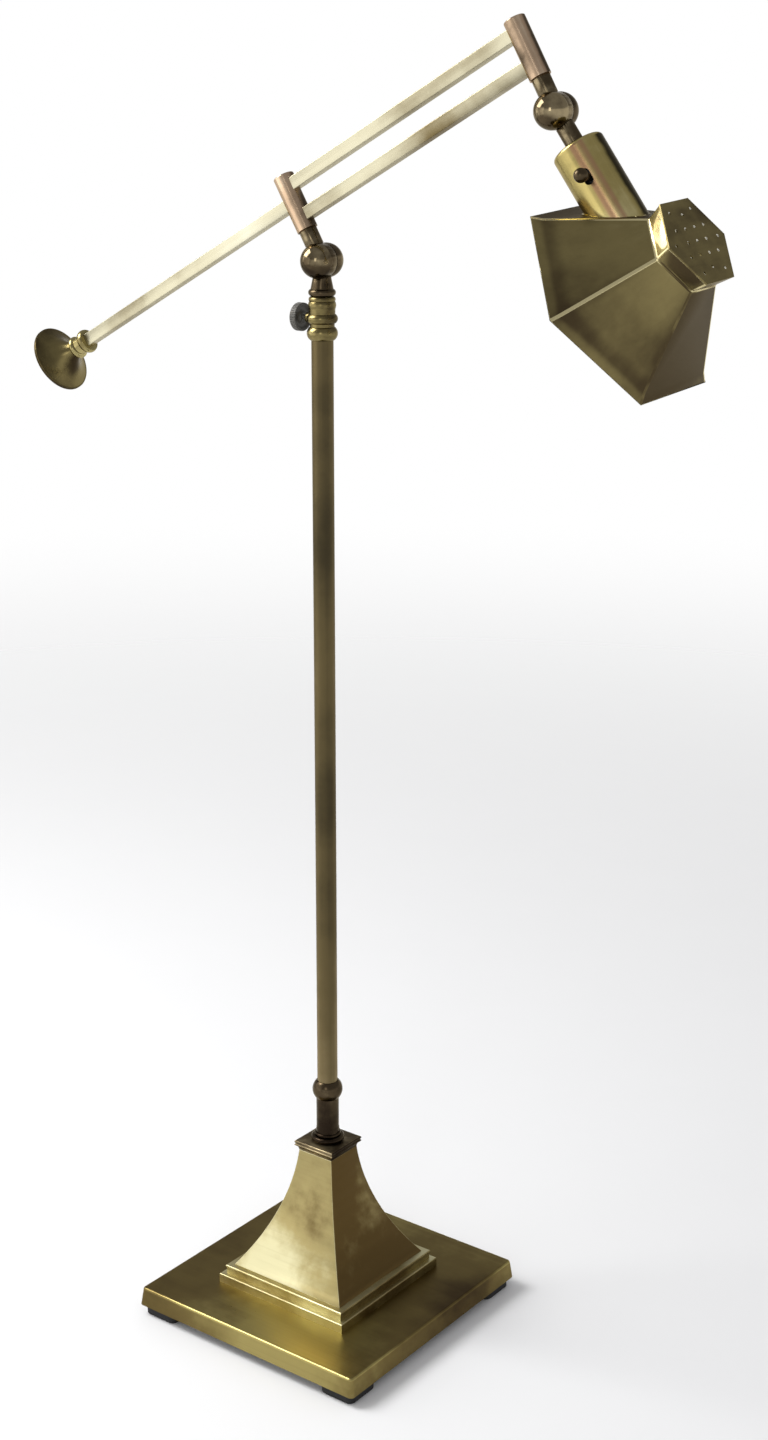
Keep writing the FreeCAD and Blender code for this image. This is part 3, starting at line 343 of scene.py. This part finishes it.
BRUSH_DARKNESS = 0.1                # share of the dark colour in a brush mark
BRUSH_RUN = 110                     # length of a straight brush mark over its width
RING_RUN = 60                       # and of one that runs round a turned piece
STREAK_STRETCH = 0.16               # stretch of the patina's streaks over the brush marks' own
COPPER_STRETCH = 0.1                # and of the copper stripes
WISPS_TO_CLOUD = 6
WISP_SHARE = 0.2                    # share of the wisps in the patina; the clouds have the rest
WISP_RELIEF = (0.0001, 0.15)        # depth in metres and strength
PATINA_ROUGHNESS = 0.14             # roughness that full patina adds


def scaled(stretch, share):
    """A share of a stretch along each axis."""
    return tuple(share * along for along in stretch)


def aged_metal(metal, name, axes, stretch, cloud, seed, cover=0.5, streaks=0.3, rough=0.34,
               blush=0.0, band=None, marks=(), enamel=None):
    """Brushed metal under a soft, cloudy patina.

    The grain runs along the axes whose stretch is small.  cloud is the size of the patina's
    patches in metres, seed moves them, cover is the share that they take (0.5 is even), streaks
    their share that follows the grain, and blush the share of copper, everywhere or in the band.
    A mark is a function of the finish that adds patina or painted shade in one place, or takes
    it away for a painted highlight or a rubbed place, and enamel gives the faces that are coated
    white.
    """
    look = bpy.context.scene.lamp_finish
    light, mid, dark = (opaque(getattr(look, metal + tone)) for tone in ("_light", "_mid", "_dark"))
    finish = Finish(name)
    point = finish.place(axes)
    shift = (seed, seed * 0.7, seed * 1.3)
    level_point = finish.stretched(point, (1, 1, 1), shift)
    brush_marks = finish.noise(finish.stretched(point, stretch), 1.0, 4.0, 0.62)
    bands = finish.noise(finish.stretched(point, scaled(stretch, STREAK_STRETCH), shift))
    clouds = finish.noise(level_point, 1 / cloud, 2.0, 0.45)
    wisps = finish.noise(level_point, WISPS_TO_CLOUD / cloud, 3.0, 0.55)
    patina_and_shading = clouds * (1 - WISP_SHARE) + wisps * WISP_SHARE
    patina_and_shading = patina_and_shading + (bands - 0.5) * streaks + (cover - 0.5)
    # The marks add painted shade and painted highlights as well as patina
    for mark in marks:
        patina_and_shading = patina_and_shading + mark(finish)
    tone = finish.mix(finish.step(patina_and_shading, *AGED_LEVEL), light, mid)
    if blush:
        copper_point = finish.stretched(point, scaled(stretch, COPPER_STRETCH), (3.3, seed, 0.4))
        copper = finish.step(finish.noise(copper_point), *COPPER_LEVEL) * blush
        if band:
            copper = copper * band(finish)
        tone = finish.mix(copper, tone, opaque(look.copper))
    tone = finish.mix(finish.step(patina_and_shading, *DARK_LEVEL), tone, dark)
    tone = finish.mix(finish.step(brush_marks, *BRUSH_LEVEL) * BRUSH_DARKNESS, tone, dark)
    metal_share = 1.0
    if enamel:
        coated = enamel(finish)
        metal_share = 1 - coated
        white = finish.mix(wisps, *(opaque(srgb(*shade)) for shade in ENAMEL))
        tone = finish.mix(coated, tone, white)
    finish.set(Base_Color=tone, Metallic=metal_share, Specular_Tint=opaque(look.grazing),
               Roughness=rough + patina_and_shading * PATINA_ROUGHNESS,
               Normal=finish.bump(wisps, *WISP_RELIEF))
    return finish.material


def patch(centre, reach, amount):
    """A mark round a place on the lamp; a negative amount makes the place lighter."""
    return lambda finish: finish.near(finish.here, centre, reach) * amount


def towards(axis, amount, low=0.3, high=0.8):
    """A mark on the faces that look along an axis."""
    return lambda finish: finish.step(finish.dot(finish.facing, axis), low, high) * amount


def rounded_edge_highlight(low, high, amount):
    """A mark on faces that lean between two slopes, such as a rounded upper edge; a negative amount
    paints a highlight there.
    """
    def mark(finish):
        lean = finish.dot(finish.facing, UP)
        above_low = finish.step(lean, low, low + 0.1)
        below_high = 1 - finish.step(lean, high - 0.05, high)
        return above_low * below_high * amount
    return mark


def specks(centre, reach, size, amount):
    """Small dark spots round a place."""
    def mark(finish):
        spots = finish.step(finish.noise(finish.here, 1 / size, 2.0, 0.5), *SPECK_LEVEL)
        return spots * finish.near(finish.here, centre, reach) * amount
    return mark


def grain(long_axis):
    """Stretch of a straight grain that runs along the axis named."""
    pitch = 1 / bpy.context.scene.lamp_finish.grain_pitch
    return tuple(pitch / BRUSH_RUN if axis == long_axis else pitch for axis in "xyz")


def ringed():
    """Stretch of a grain that runs round a turned piece."""
    pitch = 1 / bpy.context.scene.lamp_finish.grain_pitch
    return (pitch / RING_RUN, pitch / RING_RUN, pitch)


# ---------------------------------------------------------------- plain materials
PLAIN_FINISHES = {
    "black_rubber": dict(speckle=(160.0, 4.0, 0.6), spread=(0.45, 0.8),
                         tones=((11, 11, 12), (26, 24, 22)), rough=(0.62, 0.2),
                         relief=(0.0001, 0.5), pores=(900.0, 2.0)),
    "black_lacquer": dict(speckle=(240.0, 4.0, 0.6), spread=(0.52, 0.78),
                          tones=((80, 78, 73), (96, 91, 82)), rough=(0.42, 0.15),
                          relief=(0.00003, 0.3), Metallic=0.4),
    "moulded_black": dict(speckle=(300.0, 3.0), tones=((20, 19, 19), (44, 40, 37)),
                          rough=(0.35, 0.2), relief=(0.00005, 0.4)),
    "cast_iron": dict(speckle=(420.0, 5.0, 0.7), tones=((34, 33, 32), (72, 68, 64)),
                      rough=(0.6, 0.2), relief=(0.0003, 0.7), Metallic=0.6),
    "zinc_plate": dict(speckle=(500.0, 4.0, 0.6), tones=((150, 150, 148), (196, 194, 188)),
                       rough=(0.28, 0.22), relief=(0.00004, 0.4), Metallic=1.0),
    "nylon": dict(speckle=(200.0, 3.0), tones=((206, 202, 190), (226, 222, 210)),
                  rough=(0.4, 0.15), relief=(0.00005, 0.4)),
    "fibre_disc": dict(speckle=(900.0, 4.0, 0.7), tones=((44, 34, 28), (86, 66, 52)),
                       rough=(0.7, 0.2), relief=(0.0001, 0.5)),
    "frosted_glass": dict(speckle=(120.0, 4.0, 0.6), tones=((236, 236, 232), (248, 248, 246)),
                          rough=(0.3, 0.25), relief=(0.00005, 0.3),
                          Transmission_Weight=0.25, IOR=1.45),
}


def plain_finish(name):
    """Material of the table above."""
    return speckled(name, **PLAIN_FINISHES[name])


def speckled(name, speckle, tones, rough, relief, spread=None, pores=None, **fixed):
    """Material whose colour, roughness and relief follow one fine noise.

    speckle and pores are the scale, detail and roughness of a noise; rough is the least
    roughness and what the noise adds, relief the depth in metres and its strength.
    """
    finish = Finish(name)
    mottle = finish.noise(finish.here, *speckle)
    share = finish.step(mottle, *spread) if spread else mottle
    height = finish.noise(finish.here, *pores) if pores else mottle
    least, added = rough
    finish.set(Base_Color=finish.mix(share, *(opaque(srgb(*tone)) for tone in tones)),
               Roughness=least + mottle * added, Normal=finish.bump(height, *relief), **fixed)
    return finish.material


def bulb_cap_finish():
    """Aluminium cap with its rolled thread as a bump."""
    finish = Finish("bulb_cap")
    point = finish.place(head_axes)
    height = finish.node("ShaderNodeSeparateXYZ", {}, {0: point}, 2)
    thread = finish.node("ShaderNodeMath", {"operation": "SINE"},
                         {0: height * (2 * math.pi / THREAD_PITCH)})
    haze = finish.noise(point, 500.0, 3.0)
    tone = finish.mix(haze, opaque(srgb(176, 176, 174)), opaque(srgb(214, 213, 209)))
    finish.set(Base_Color=tone, Metallic=1.0, Roughness=0.25 + haze * 0.2,
               Normal=finish.bump(thread, 0.0008, 0.8))
    return finish.material


# ---------------------------------------------------------------- dressing the pieces
def coat(node, material):
    """Gives a piece of the frame its finish."""
    piece = frame["nodes"][node]
    piece.data.materials.clear()
    piece.data.materials.append(material)


def softened(node, width, face, edge=None, segments=3, angle=30.0, thin_share=1.0):
    """Copy of a piece with its sharp edges rounded; the rounded strips may have their own finish.

    Edges that turn by a right angle, such as a sheet's cut rim, get only a share of the width.
    """
    source = frame["nodes"][node]
    mesh = source.data.copy()
    mesh.name = node + "_soft"
    shape = bmesh.new()
    shape.from_mesh(mesh)
    bmesh.ops.remove_doubles(shape, verts=shape.verts, dist=SEAM_GAP)
    bmesh.ops.dissolve_limit(shape, angle_limit=FLAT_TURN, verts=shape.verts, edges=shape.edges)
    weights = shape.edges.layers.float.new("bevel_weight_edge")
    for line in shape.edges:
        turn = math.degrees(line.calc_face_angle(0.0))
        if turn > angle:
            line[weights] = thin_share if turn > RIM_TURN else 1.0
    shape.to_mesh(mesh)
    shape.free()
    piece = bpy.data.objects.new(node + "_soft", mesh)
    bpy.context.scene.collection.objects.link(piece)
    mesh.materials.clear()
    mesh.materials.append(face)
    mesh.materials.append(edge or face)
    mesh.polygons.foreach_set("material_index", [0] * len(mesh.polygons))
    bevel = piece.modifiers.new("edges", "BEVEL")
    bevel.width = width
    bevel.segments = segments
    bevel.limit_method = "WEIGHT"
    bevel.material = 1
    bevel.harden_normals = True
    # A clamp would cut every fold of a sheet down to what its thin rims allow
    bevel.use_clamp_overlap = thin_share == 1.0
    apply_modifiers(piece)
    piece.data.shade_smooth()
    piece.data.set_sharp_from_angle(angle=CRISP_TURN)
    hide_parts(node)
    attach(piece, body_of_node[node])
    return piece


def apply_modifiers(piece):
    """Gives a piece the mesh that its modifiers make, and drops them."""
    graph = bpy.context.evaluated_depsgraph_get()
    shaped = bpy.data.meshes.new_from_object(piece.evaluated_get(graph))
    old = piece.data
    piece.modifiers.clear()
    piece.data = shaped
    bpy.data.meshes.remove(old)


# ---------------------------------------------------------------- operators
class LampOperator(bpy.types.Operator):
    """Shared settings of the lamp's operators."""

    bl_options = {"REGISTER", "UNDO"}


class LAMP_OT_feet(LampOperator):
    """Rubber feet, their screws and the iron weight"""

    bl_idname = "lamp.feet"
    bl_label = "Feet and weight"

    def execute(self, context):
        coat("rubber_feet", plain_finish("black_rubber"))
        steel = plain_finish("zinc_plate")
        for node in ("foot_screws", "pipe_washer", "pipe_nut", "lamp_pipe"):
            coat(node, steel)
        coat("base_weight", plain_finish("cast_iron"))
        coat("cord_bushing", plain_finish("moulded_black"))
        return {"FINISHED"}


class LAMP_OT_base(LampOperator):
    """Base plate, plinth and pyramid"""

    bl_idname = "lamp.base"
    bl_label = "Base"

    def execute(self, context):
        self.dress_plate()
        self.dress_plinth()
        self.dress_pyramid()
        return {"FINISHED"}

    def dress_plate(self):
        """Plate lighter at its front corner, with a painted highlight along its rounded upper edge
        and a few dark specks on its left.
        """
        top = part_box("base_cover")[1].z
        marks = (patch((0.04, -0.13, top), 0.18, -0.3),
                 patch((0.15, 0.02, top), 0.16, 0.12),
                 patch((-0.14, -0.07, top), 0.13, 0.13),
                 # a painted highlight along the rounded upper edge
                 rounded_edge_highlight(0.25, 0.95, -0.12),
                 specks((-0.03, -0.1, top), 0.05, 0.0028, 0.6))
        coat("base_cover", aged_metal("plate", "plate_brass", WORLD_AXES, grain("x"), cloud=0.16,
                                      seed=2.0, rough=0.3, streaks=0.15, marks=marks))

    def dress_plinth(self):
        """Plinth, with painted shade on its right side."""
        # painted shade on the faces that look to the right
        plinth = aged_metal("pyramid", "plinth_brass", WORLD_AXES, ringed(), cloud=0.09, cover=0.4,
                            seed=5.0, streaks=0.06, marks=(towards(RIGHT, 0.34),))
        coat("plinth_lower", plinth)
        coat("plinth_upper", plinth)

    def dress_pyramid(self):
        """Pyramid with a painted highlight at its left foot and painted shade on its right side,
        darker at its top and beside its front edge.
        """
        low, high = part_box("pyramid_shell")
        # a painted highlight at the left foot, and painted shade on the faces to the right
        marks = (patch((low.x * 0.4, low.y, low.z + 0.02), 0.07, -0.3),
                 patch((0.0, 0.0, high.z), 0.05, 0.16),
                 patch((0.065, -0.075, low.z + 0.06), 0.06, 0.34),
                 towards(RIGHT, 0.34, 0.3, 0.7))
        alike = dict(cloud=0.07, seed=7.0, streaks=0.06, marks=marks)
        face = aged_metal("pyramid", "pyramid_brass", WORLD_AXES, ringed(), rough=0.3, **alike)
        arris = aged_metal("pyramid", "pyramid_arris", WORLD_AXES, ringed(), cover=0.3, **alike)
        softened("pyramid_shell", PYRAMID_BEVEL, face, arris)


class LAMP_OT_column(LampOperator):
    """Cap, socket, column, collar and mast"""

    bl_idname = "lamp.column"
    bl_label = "Column"

    def execute(self, context):
        self.dress_cap()
        self.dress_tube()
        self.dress_mast()
        return {"FINISHED"}

    def dress_cap(self):
        """Square cap with painted shade on its right, rubbed at its edges, and the socket on it."""
        # painted shade on the faces that look to the right
        alike = dict(cloud=0.03, seed=3.0, marks=(towards(RIGHT, 0.3),))
        cap = aged_metal("bronze", "cap_bronze", WORLD_AXES, ringed(), cover=0.46, **alike)
        rubbed = aged_metal("bronze", "cap_edge", WORLD_AXES, ringed(), cover=0.3, **alike)
        softened("cap_plate", SMALL_BEVEL, cap, rubbed, 2)
        coat("column_socket", aged_metal("bronze", "socket_bronze", WORLD_AXES, grain("z"),
                                         cloud=0.04, cover=0.68, seed=4.0, rough=0.16))

    def dress_tube(self):
        """Column, darker towards its top, with painted shade on its front, under a turned collar.
        """
        low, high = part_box("column_tube")
        # painted shade on the column's front; darker towards the top and lighter at the foot
        marks = (patch((0.0, 0.0, high.z), 0.3, 0.16),
                 patch((0.0, 0.0, high.z - 0.35), 0.35, 0.08),
                 patch((0.0, 0.0, low.z), 0.4, -0.14),
                 towards(COLUMN_FRONT, 0.12, 0.5, 0.95))
        coat("column_tube", aged_metal("column", "column_brass", WORLD_AXES, grain("z"),
                                       cloud=0.22, seed=6.0, streaks=0.35, rough=0.3, marks=marks))
        coat("top_collar", aged_metal("turned", "collar_brass", WORLD_AXES, ringed(), cloud=0.03,
                                      cover=0.56, seed=8.0, rough=0.17, streaks=0.15))

    def dress_mast(self):
        """Mast, its guide and the thumbscrew that holds it."""
        coat("mast_tube", aged_metal("turned", "mast_brass", WORLD_AXES, grain("z"), cloud=0.1,
                                     cover=0.35, seed=9.0))
        coat("mast_guide", plain_finish("nylon"))
        coat("thumbscrew_shank", plain_finish("zinc_plate"))
        coat("thumbscrew_knob", plain_finish("black_lacquer"))


class LAMP_OT_knuckles(LampOperator):
    """Neck and both knuckles"""

    bl_idname = "lamp.knuckles"
    bl_label = "Knuckles"

    def execute(self, context):
        steel = plain_finish("zinc_plate")
        fibre = plain_finish("fibre_disc")
        coat("neck_grub", steel)
        neck = aged_metal("bronze", "neck_bronze", WORLD_AXES, ringed(), cloud=0.03, seed=11.0,
                          rough=0.16)
        softened("neck", SMALL_BEVEL, neck, segments=2)
        # The front dome is a lighter copy as a painted highlight, and both domes get painted shade
        # below
        ends = {"rear": (WORLD_AXES, 12.0, 0.44), "front": (head_axes, 14.0, 0.3)}
        for end, (axes, seed, cover) in ends.items():
            coat(end + "_knuckle_bolt", steel)
            coat(end + "_knuckle_washer", fibre)
            dome = aged_metal("bronze", end + "_dome_bronze", axes, grain("z"), cloud=0.03,
                              cover=cover, seed=seed, rough=0.08, streaks=0.15,
                              marks=(towards(DOWN, 0.3, 0.0, 0.7),))
            softened(end + "_knuckle_cap", SMALL_BEVEL, dome, segments=2)
        stem = aged_metal("bronze", "shade_stem_bronze", head_axes, grain("z"), cloud=0.03,
                          seed=15.0, rough=0.16)
        softened("shade_stem", SMALL_BEVEL, stem, segments=2)
        return {"FINISHED"}


class LAMP_OT_arm(LampOperator):
    """Posts, bars and counterweight"""

    bl_idname = "lamp.arm"
    bl_label = "Arm"

    def execute(self, context):
        self.dress_posts()
        self.dress_bars()
        self.dress_counterweight()
        return {"FINISHED"}

    def dress_posts(self):
        """Coppery posts with painted shade on their far right side, on dark stems."""
        post = aged_metal("post", "post_bronze", post_axes, grain("z"), cloud=0.06, seed=16.0,
                          streaks=0.9, rough=0.15, blush=0.5,
                          # painted shade on the far right side
                          marks=(towards(FAR_RIGHT, 0.3, 0.2, 0.8),))
        stem = aged_metal("bronze", "post_stem_bronze", post_axes, grain("z"), cloud=0.03,
                          cover=0.46, seed=17.0, rough=0.16)
        for end in ("rear", "front"):
            coat(end + "_post", post)
            coat(end + "_post_cap", post)
            softened(end + "_post_stem", SMALL_BEVEL, stem, segments=2)

    def dress_bars(self):
        """Pale bars with dark edges; the lower one is duller, more so at its far end."""
        alike = dict(cloud=0.14, seed=18.0, streaks=0.25, rough=0.26)
        bar = aged_metal("bar", "bar_brass", bar_axes, grain("z"), **alike)
        rim = aged_metal("bar", "bar_edge_brass", bar_axes, grain("z"), cloud=0.14, cover=0.95,
                         seed=18.0)
        far_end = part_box("lower_bar")[1]
        dulled = aged_metal("bar", "lower_bar_brass", bar_axes, grain("z"), cover=0.62,
                            marks=(patch(far_end, 0.14, 0.05),), **alike)
        for node, face in {"lower_bar": dulled, "upper_bar": bar, "counter_bar": bar}.items():
            softened(node, BAR_BEVEL, face, rim, 2)

    def dress_counterweight(self):
        """Bell with painted shade on its lower side, on a bright collar."""
        weight = aged_metal("turned", "weight_brass", bar_axes, ringed(), cloud=0.07, cover=0.6,
                            seed=19.0, rough=0.18, streaks=0.1,
                            # painted shade on the lower side
                            marks=(towards(DOWN, 0.3, -0.1, 0.5),))
        collar = aged_metal("turned", "weight_collar_brass", bar_axes, ringed(), cloud=0.05,
                            cover=0.3, seed=20.0, rough=0.18)
        coat("counterweight_collar", collar)
        coat("counterweight_bell", weight)
        coat("counterweight_back", weight)
        coat("counterweight_slug", plain_finish("cast_iron"))
        coat("counterweight_bolt", plain_finish("zinc_plate"))


class LAMP_OT_holder(LampOperator):
    """Socket cover, lampholder, switch and bulb"""

    bl_idname = "lamp.holder"
    bl_label = "Lampholder"

    def execute(self, context):
        # Painted shade on the socket cover's far right side; copper shows in a band beside its
        # switch
        coat("socket_cover", aged_metal("cover", "cover_brass", head_axes, grain("z"), cloud=0.07,
                                        seed=21.0, streaks=0.3, rough=0.18, blush=0.8,
                                        marks=(towards(FAR_RIGHT, 0.6, 0.3, 0.8),),
                                        band=towards(COVER_FRONT, 1.0, 0.93, 0.98)))
        steel = plain_finish("zinc_plate")
        coat("cover_nipple", steel)
        coat("cover_nut", steel)
        coat("lampholder_body", plain_finish("moulded_black"))
        shell = aged_metal("bar", "screw_shell_brass", head_axes, ringed(), cloud=0.05, cover=0.55,
                           seed=22.0)
        coat("lampholder_shell", shell)
        coat("lampholder_contact", shell)
        coat("bulb_cap", bulb_cap_finish())
        coat("bulb_glass", plain_finish("frosted_glass"))
        coat("switch_knob", aged_metal("bronze", "switch_bronze", head_axes, ringed(), cloud=0.03,
                                       cover=0.45, seed=23.0, rough=0.22))
        return {"FINISHED"}


class LAMP_OT_shade(LampOperator):
    """Hexagonal shade and its perforated end"""

    bl_idname = "lamp.shade"
    bl_label = "Shade"

    def execute(self, context):
        low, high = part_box("shade_shell")
        enamel = enamelled_side((low + high) / 2)
        self.dress_cone(context.scene.lamp_finish.edge_width, enamel)
        coat("shade_end_plate", aged_metal("shade", "end_plate_brass", head_axes, grain("y"),
                                           cloud=0.08, cover=0.6, seed=27.0, enamel=enamel))
        return {"FINISHED"}

    def dress_cone(self, fold_width, enamel):
        """Cone of six panels between folds with a painted highlight, white inside."""
        low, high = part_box("shade_end_plate")
        centre = (low + high) / 2
        up = head_axes[2] * math.cos(math.pi / 3)
        across = shade_side * math.sin(math.pi / 3)
        neck_low = across - up
        neck_left = across + up
        # Painted shade on the top and right panels and the neck's lower facet, a painted highlight
        # on the neck's left facet
        panel = aged_metal("shade", "shade_brass", head_axes, grain("x"), cloud=0.18, cover=0.65,
                           seed=25.0, streaks=0.1, rough=0.28, enamel=enamel,
                           marks=(towards(UP, 0.6, 0.8, 0.95),
                                  towards(RIGHT_PANEL, 0.2, 0.85, 0.97), cone_fold_marks_and_lip_shading(centre),
                                  towards(neck_left, -0.9, 0.97, 0.99),
                                  towards(neck_low, 0.25, 0.95, 0.98)))
        # The folds are a lighter copy as a painted highlight, with painted shade on the right fold
        # and the neck's bends
        fold = aged_metal("shade", "shade_fold_highlight", head_axes, grain("x"), cloud=0.05, cover=0.1,
                          seed=25.0, rough=0.2,
                          marks=(towards(RIGHT_FOLD, 0.6, 0.9, 0.97),
                                 towards(NECK_BEND, 0.4, 0.93, 0.98),
                                 towards(neck_low, 0.5, 0.9, 0.97)))
        softened("shade_shell", fold_width, panel, fold, angle=20.0, thin_share=0.25)


# Where a mark on the cone starts and where it is full, in metres from the end plate
CONE_START = (0.0185, 0.024)
# ABOVE_LIP and LIP_BEND bound the painted shade in the lip's crease, OUTER_LIP the painted
# highlight
ABOVE_LIP = (0.08, 0.091)
LIP_BEND = (0.096, 0.092)
OUTER_LIP = (0.0935, 0.098)
BESIDE_FOLD = (0.41, 0.52)          # radians from the middle of a panel; its fold is at pi / 6


def cone_fold_marks_and_lip_shading(centre):
    """Darker beside the folds, with painted shade in the crease inside the lip of the cone and a
    painted highlight on its outer lip.
    """
    def mark(finish):
        across = finish.dot(finish.here, shade_side) - centre.dot(shade_side)
        up = finish.dot(finish.here, head_axes[2]) - centre.dot(head_axes[2])
        down = centre.dot(shade_way) - finish.dot(finish.here, shade_way)
        turn = finish.node("ShaderNodeMath", {"operation": "ARCTAN2"}, {0: across, 1: up})
        from_middle = finish.node("ShaderNodeMath", {"operation": "PINGPONG"},
                                  {0: turn, 1: math.pi / 6})
        beside_fold = finish.step(from_middle, *BESIDE_FOLD) * finish.step(down, *CONE_START)
        lip_crease_shade = finish.step(down, *ABOVE_LIP) * finish.step(down, *LIP_BEND)
        lip_highlight = finish.step(down, *OUTER_LIP)
        return beside_fold * 0.05 + lip_crease_shade * 0.08 - lip_highlight * 0.06
    return mark


def enamelled_side(hollow):
    """1 on the faces that look towards the middle of the shade's hollow."""
    def mask(finish):
        outward = finish.node("ShaderNodeVectorMath", {"operation": "SUBTRACT"},
                              {0: finish.here, 1: tuple(hollow)})
        return finish.step(finish.dot(outward, finish.facing), ENAMEL_EDGE, -ENAMEL_EDGE)
    return mask


def pale_floor(stage):
    """Pale floor that fades into the room's own light far from the lamp."""
    finish = Finish("pale_floor")
    mottle = finish.noise(finish.here, 6.0, 3.0)
    shade = opaque(level * 0.98 for level in stage.floor_colour)
    finish.set(Base_Color=finish.mix(mottle, opaque(stage.floor_colour), shade), Roughness=0.8)
    far_away = 1 - finish.near(finish.here, (0, 0, 0), stage.floor_reach)
    painted = Value(finish, finish.shader.outputs[0])
    clear = finish.node("ShaderNodeBsdfTransparent", {}, {})
    faded = finish.node("ShaderNodeMixShader", {}, {0: far_away, 1: painted, 2: clear})
    finish.fill(finish.tree.nodes["Material Output"].inputs["Surface"], faded)
    return finish.material


class LAMP_OT_stage(LampOperator):
    """Floor, soft lamps, world and camera"""

    bl_idname = "lamp.stage"
    bl_label = "Stage"

    def execute(self, context):
        stage = context.scene.lamp_stage
        self.lay_floor(stage)
        self.light_world(context.scene)
        for name, place, size, share in LAMPS:
            self.hang_lamp(name, place, size, stage.key_power * share)
        self.place_camera(context.scene, stage)
        return {"FINISHED"}

    def lay_floor(self, stage):
        """Round floor, a little wider than the place where it has faded out."""
        mesh = bpy.data.meshes.new("floor")
        shape = bmesh.new()
        bmesh.ops.create_circle(shape, cap_ends=True, segments=FLOOR_SIDES,
                                radius=stage.floor_reach * FLOOR_MARGIN)
        shape.to_mesh(mesh)
        shape.free()
        floor = bpy.data.objects.new("floor", mesh)
        bpy.context.scene.collection.objects.link(floor)
        mesh.materials.append(pale_floor(stage))

    def light_world(self, scene):
        """White room under a grey ceiling."""
        world = bpy.data.worlds.new("room")
        world.use_nodes = True
        scene.world = world
        room = NodeWork(world.node_tree)
        direction = room.node("ShaderNodeTexCoord", {}, {}, "Generated")
        overhead = room.step(room.dot(direction, UP), *CEILING_EDGE)
        background = world.node_tree.nodes["Background"]
        room.fill(background.inputs["Color"], room.mix(overhead, WALL_WHITE, CEILING_GREY))
        background.inputs["Strength"].default_value = 1.0

    def hang_lamp(self, name, place, size, power):
        """Soft rectangular lamp that looks at the middle of the object."""
        light = bpy.data.lights.new(name, "AREA")
        light.shape = "RECTANGLE"
        light.size, light.size_y = size
        light.energy = power
        lamp = bpy.data.objects.new(name, light)
        lamp.location = place
        lamp.rotation_euler = (LAMP_AIM - lamp.location).to_track_quat("-Z", "Y").to_euler()
        bpy.context.scene.collection.objects.link(lamp)

    def place_camera(self, scene, stage):
        """Camera in front and to the right, a little higher than the knuckles."""
        data = bpy.data.cameras.new("camera")
        data.sensor_width = SENSOR_WIDTH
        data.lens = stage.lens
        data.shift_x, data.shift_y = CAMERA_SHIFT
        data.clip_end = CAMERA_REACH
        camera = bpy.data.objects.new("camera", data)
        aim = Euler((math.pi / 2 - stage.camera_dip, 0.0, stage.camera_turn)).to_matrix()
        roll = Matrix.Rotation(stage.camera_roll, 3, "Z")
        camera.matrix_world = Matrix.Translation(stage.camera_place) @ (aim @ roll).to_4x4()
        scene.collection.objects.link(camera)
        scene.camera = camera
        scene.view_settings.view_transform = "Standard"


class LAMP_PT_panel(bpy.types.Panel):
    """Lists the lamp's operators and settings"""

    bl_idname = "LAMP_PT_panel"
    bl_label = "Bridge floor lamp"
    bl_space_type = "VIEW_3D"
    bl_region_type = "UI"
    bl_category = "Lamp"

    def draw(self, context):
        column = self.layout.column()
        for operator in OPERATORS:
            column.operator(operator.bl_idname)
        for group in (context.scene.lamp_finish, context.scene.lamp_stage):
            box = self.layout.box()
            for setting in group.__annotations__:
                box.prop(group, setting)


OPERATORS = (LAMP_OT_stage, LAMP_OT_feet, LAMP_OT_base, LAMP_OT_column, LAMP_OT_knuckles,
             LAMP_OT_arm, LAMP_OT_holder, LAMP_OT_shade)
CLASSES = (LampFinishSettings, LampStageSettings) + OPERATORS + (LAMP_PT_panel,)


def register():
    """Registers the classes and hangs the settings on the scene."""
    for cls in CLASSES:
        bpy.utils.register_class(cls)
    bpy.types.Scene.lamp_finish = bpy.props.PointerProperty(type=LampFinishSettings)
    bpy.types.Scene.lamp_stage = bpy.props.PointerProperty(type=LampStageSettings)


def unregister():
    """Undoes register."""
    del bpy.types.Scene.lamp_stage
    del bpy.types.Scene.lamp_finish
    for cls in reversed(CLASSES):
        bpy.utils.unregister_class(cls)


def main():
    """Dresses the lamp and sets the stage."""
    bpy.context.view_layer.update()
    register()
    for operator in OPERATORS:
        group, name = operator.bl_idname.split(".")
        getattr(getattr(bpy.ops, group), name)()


if __name__ == "__main__":
    main()
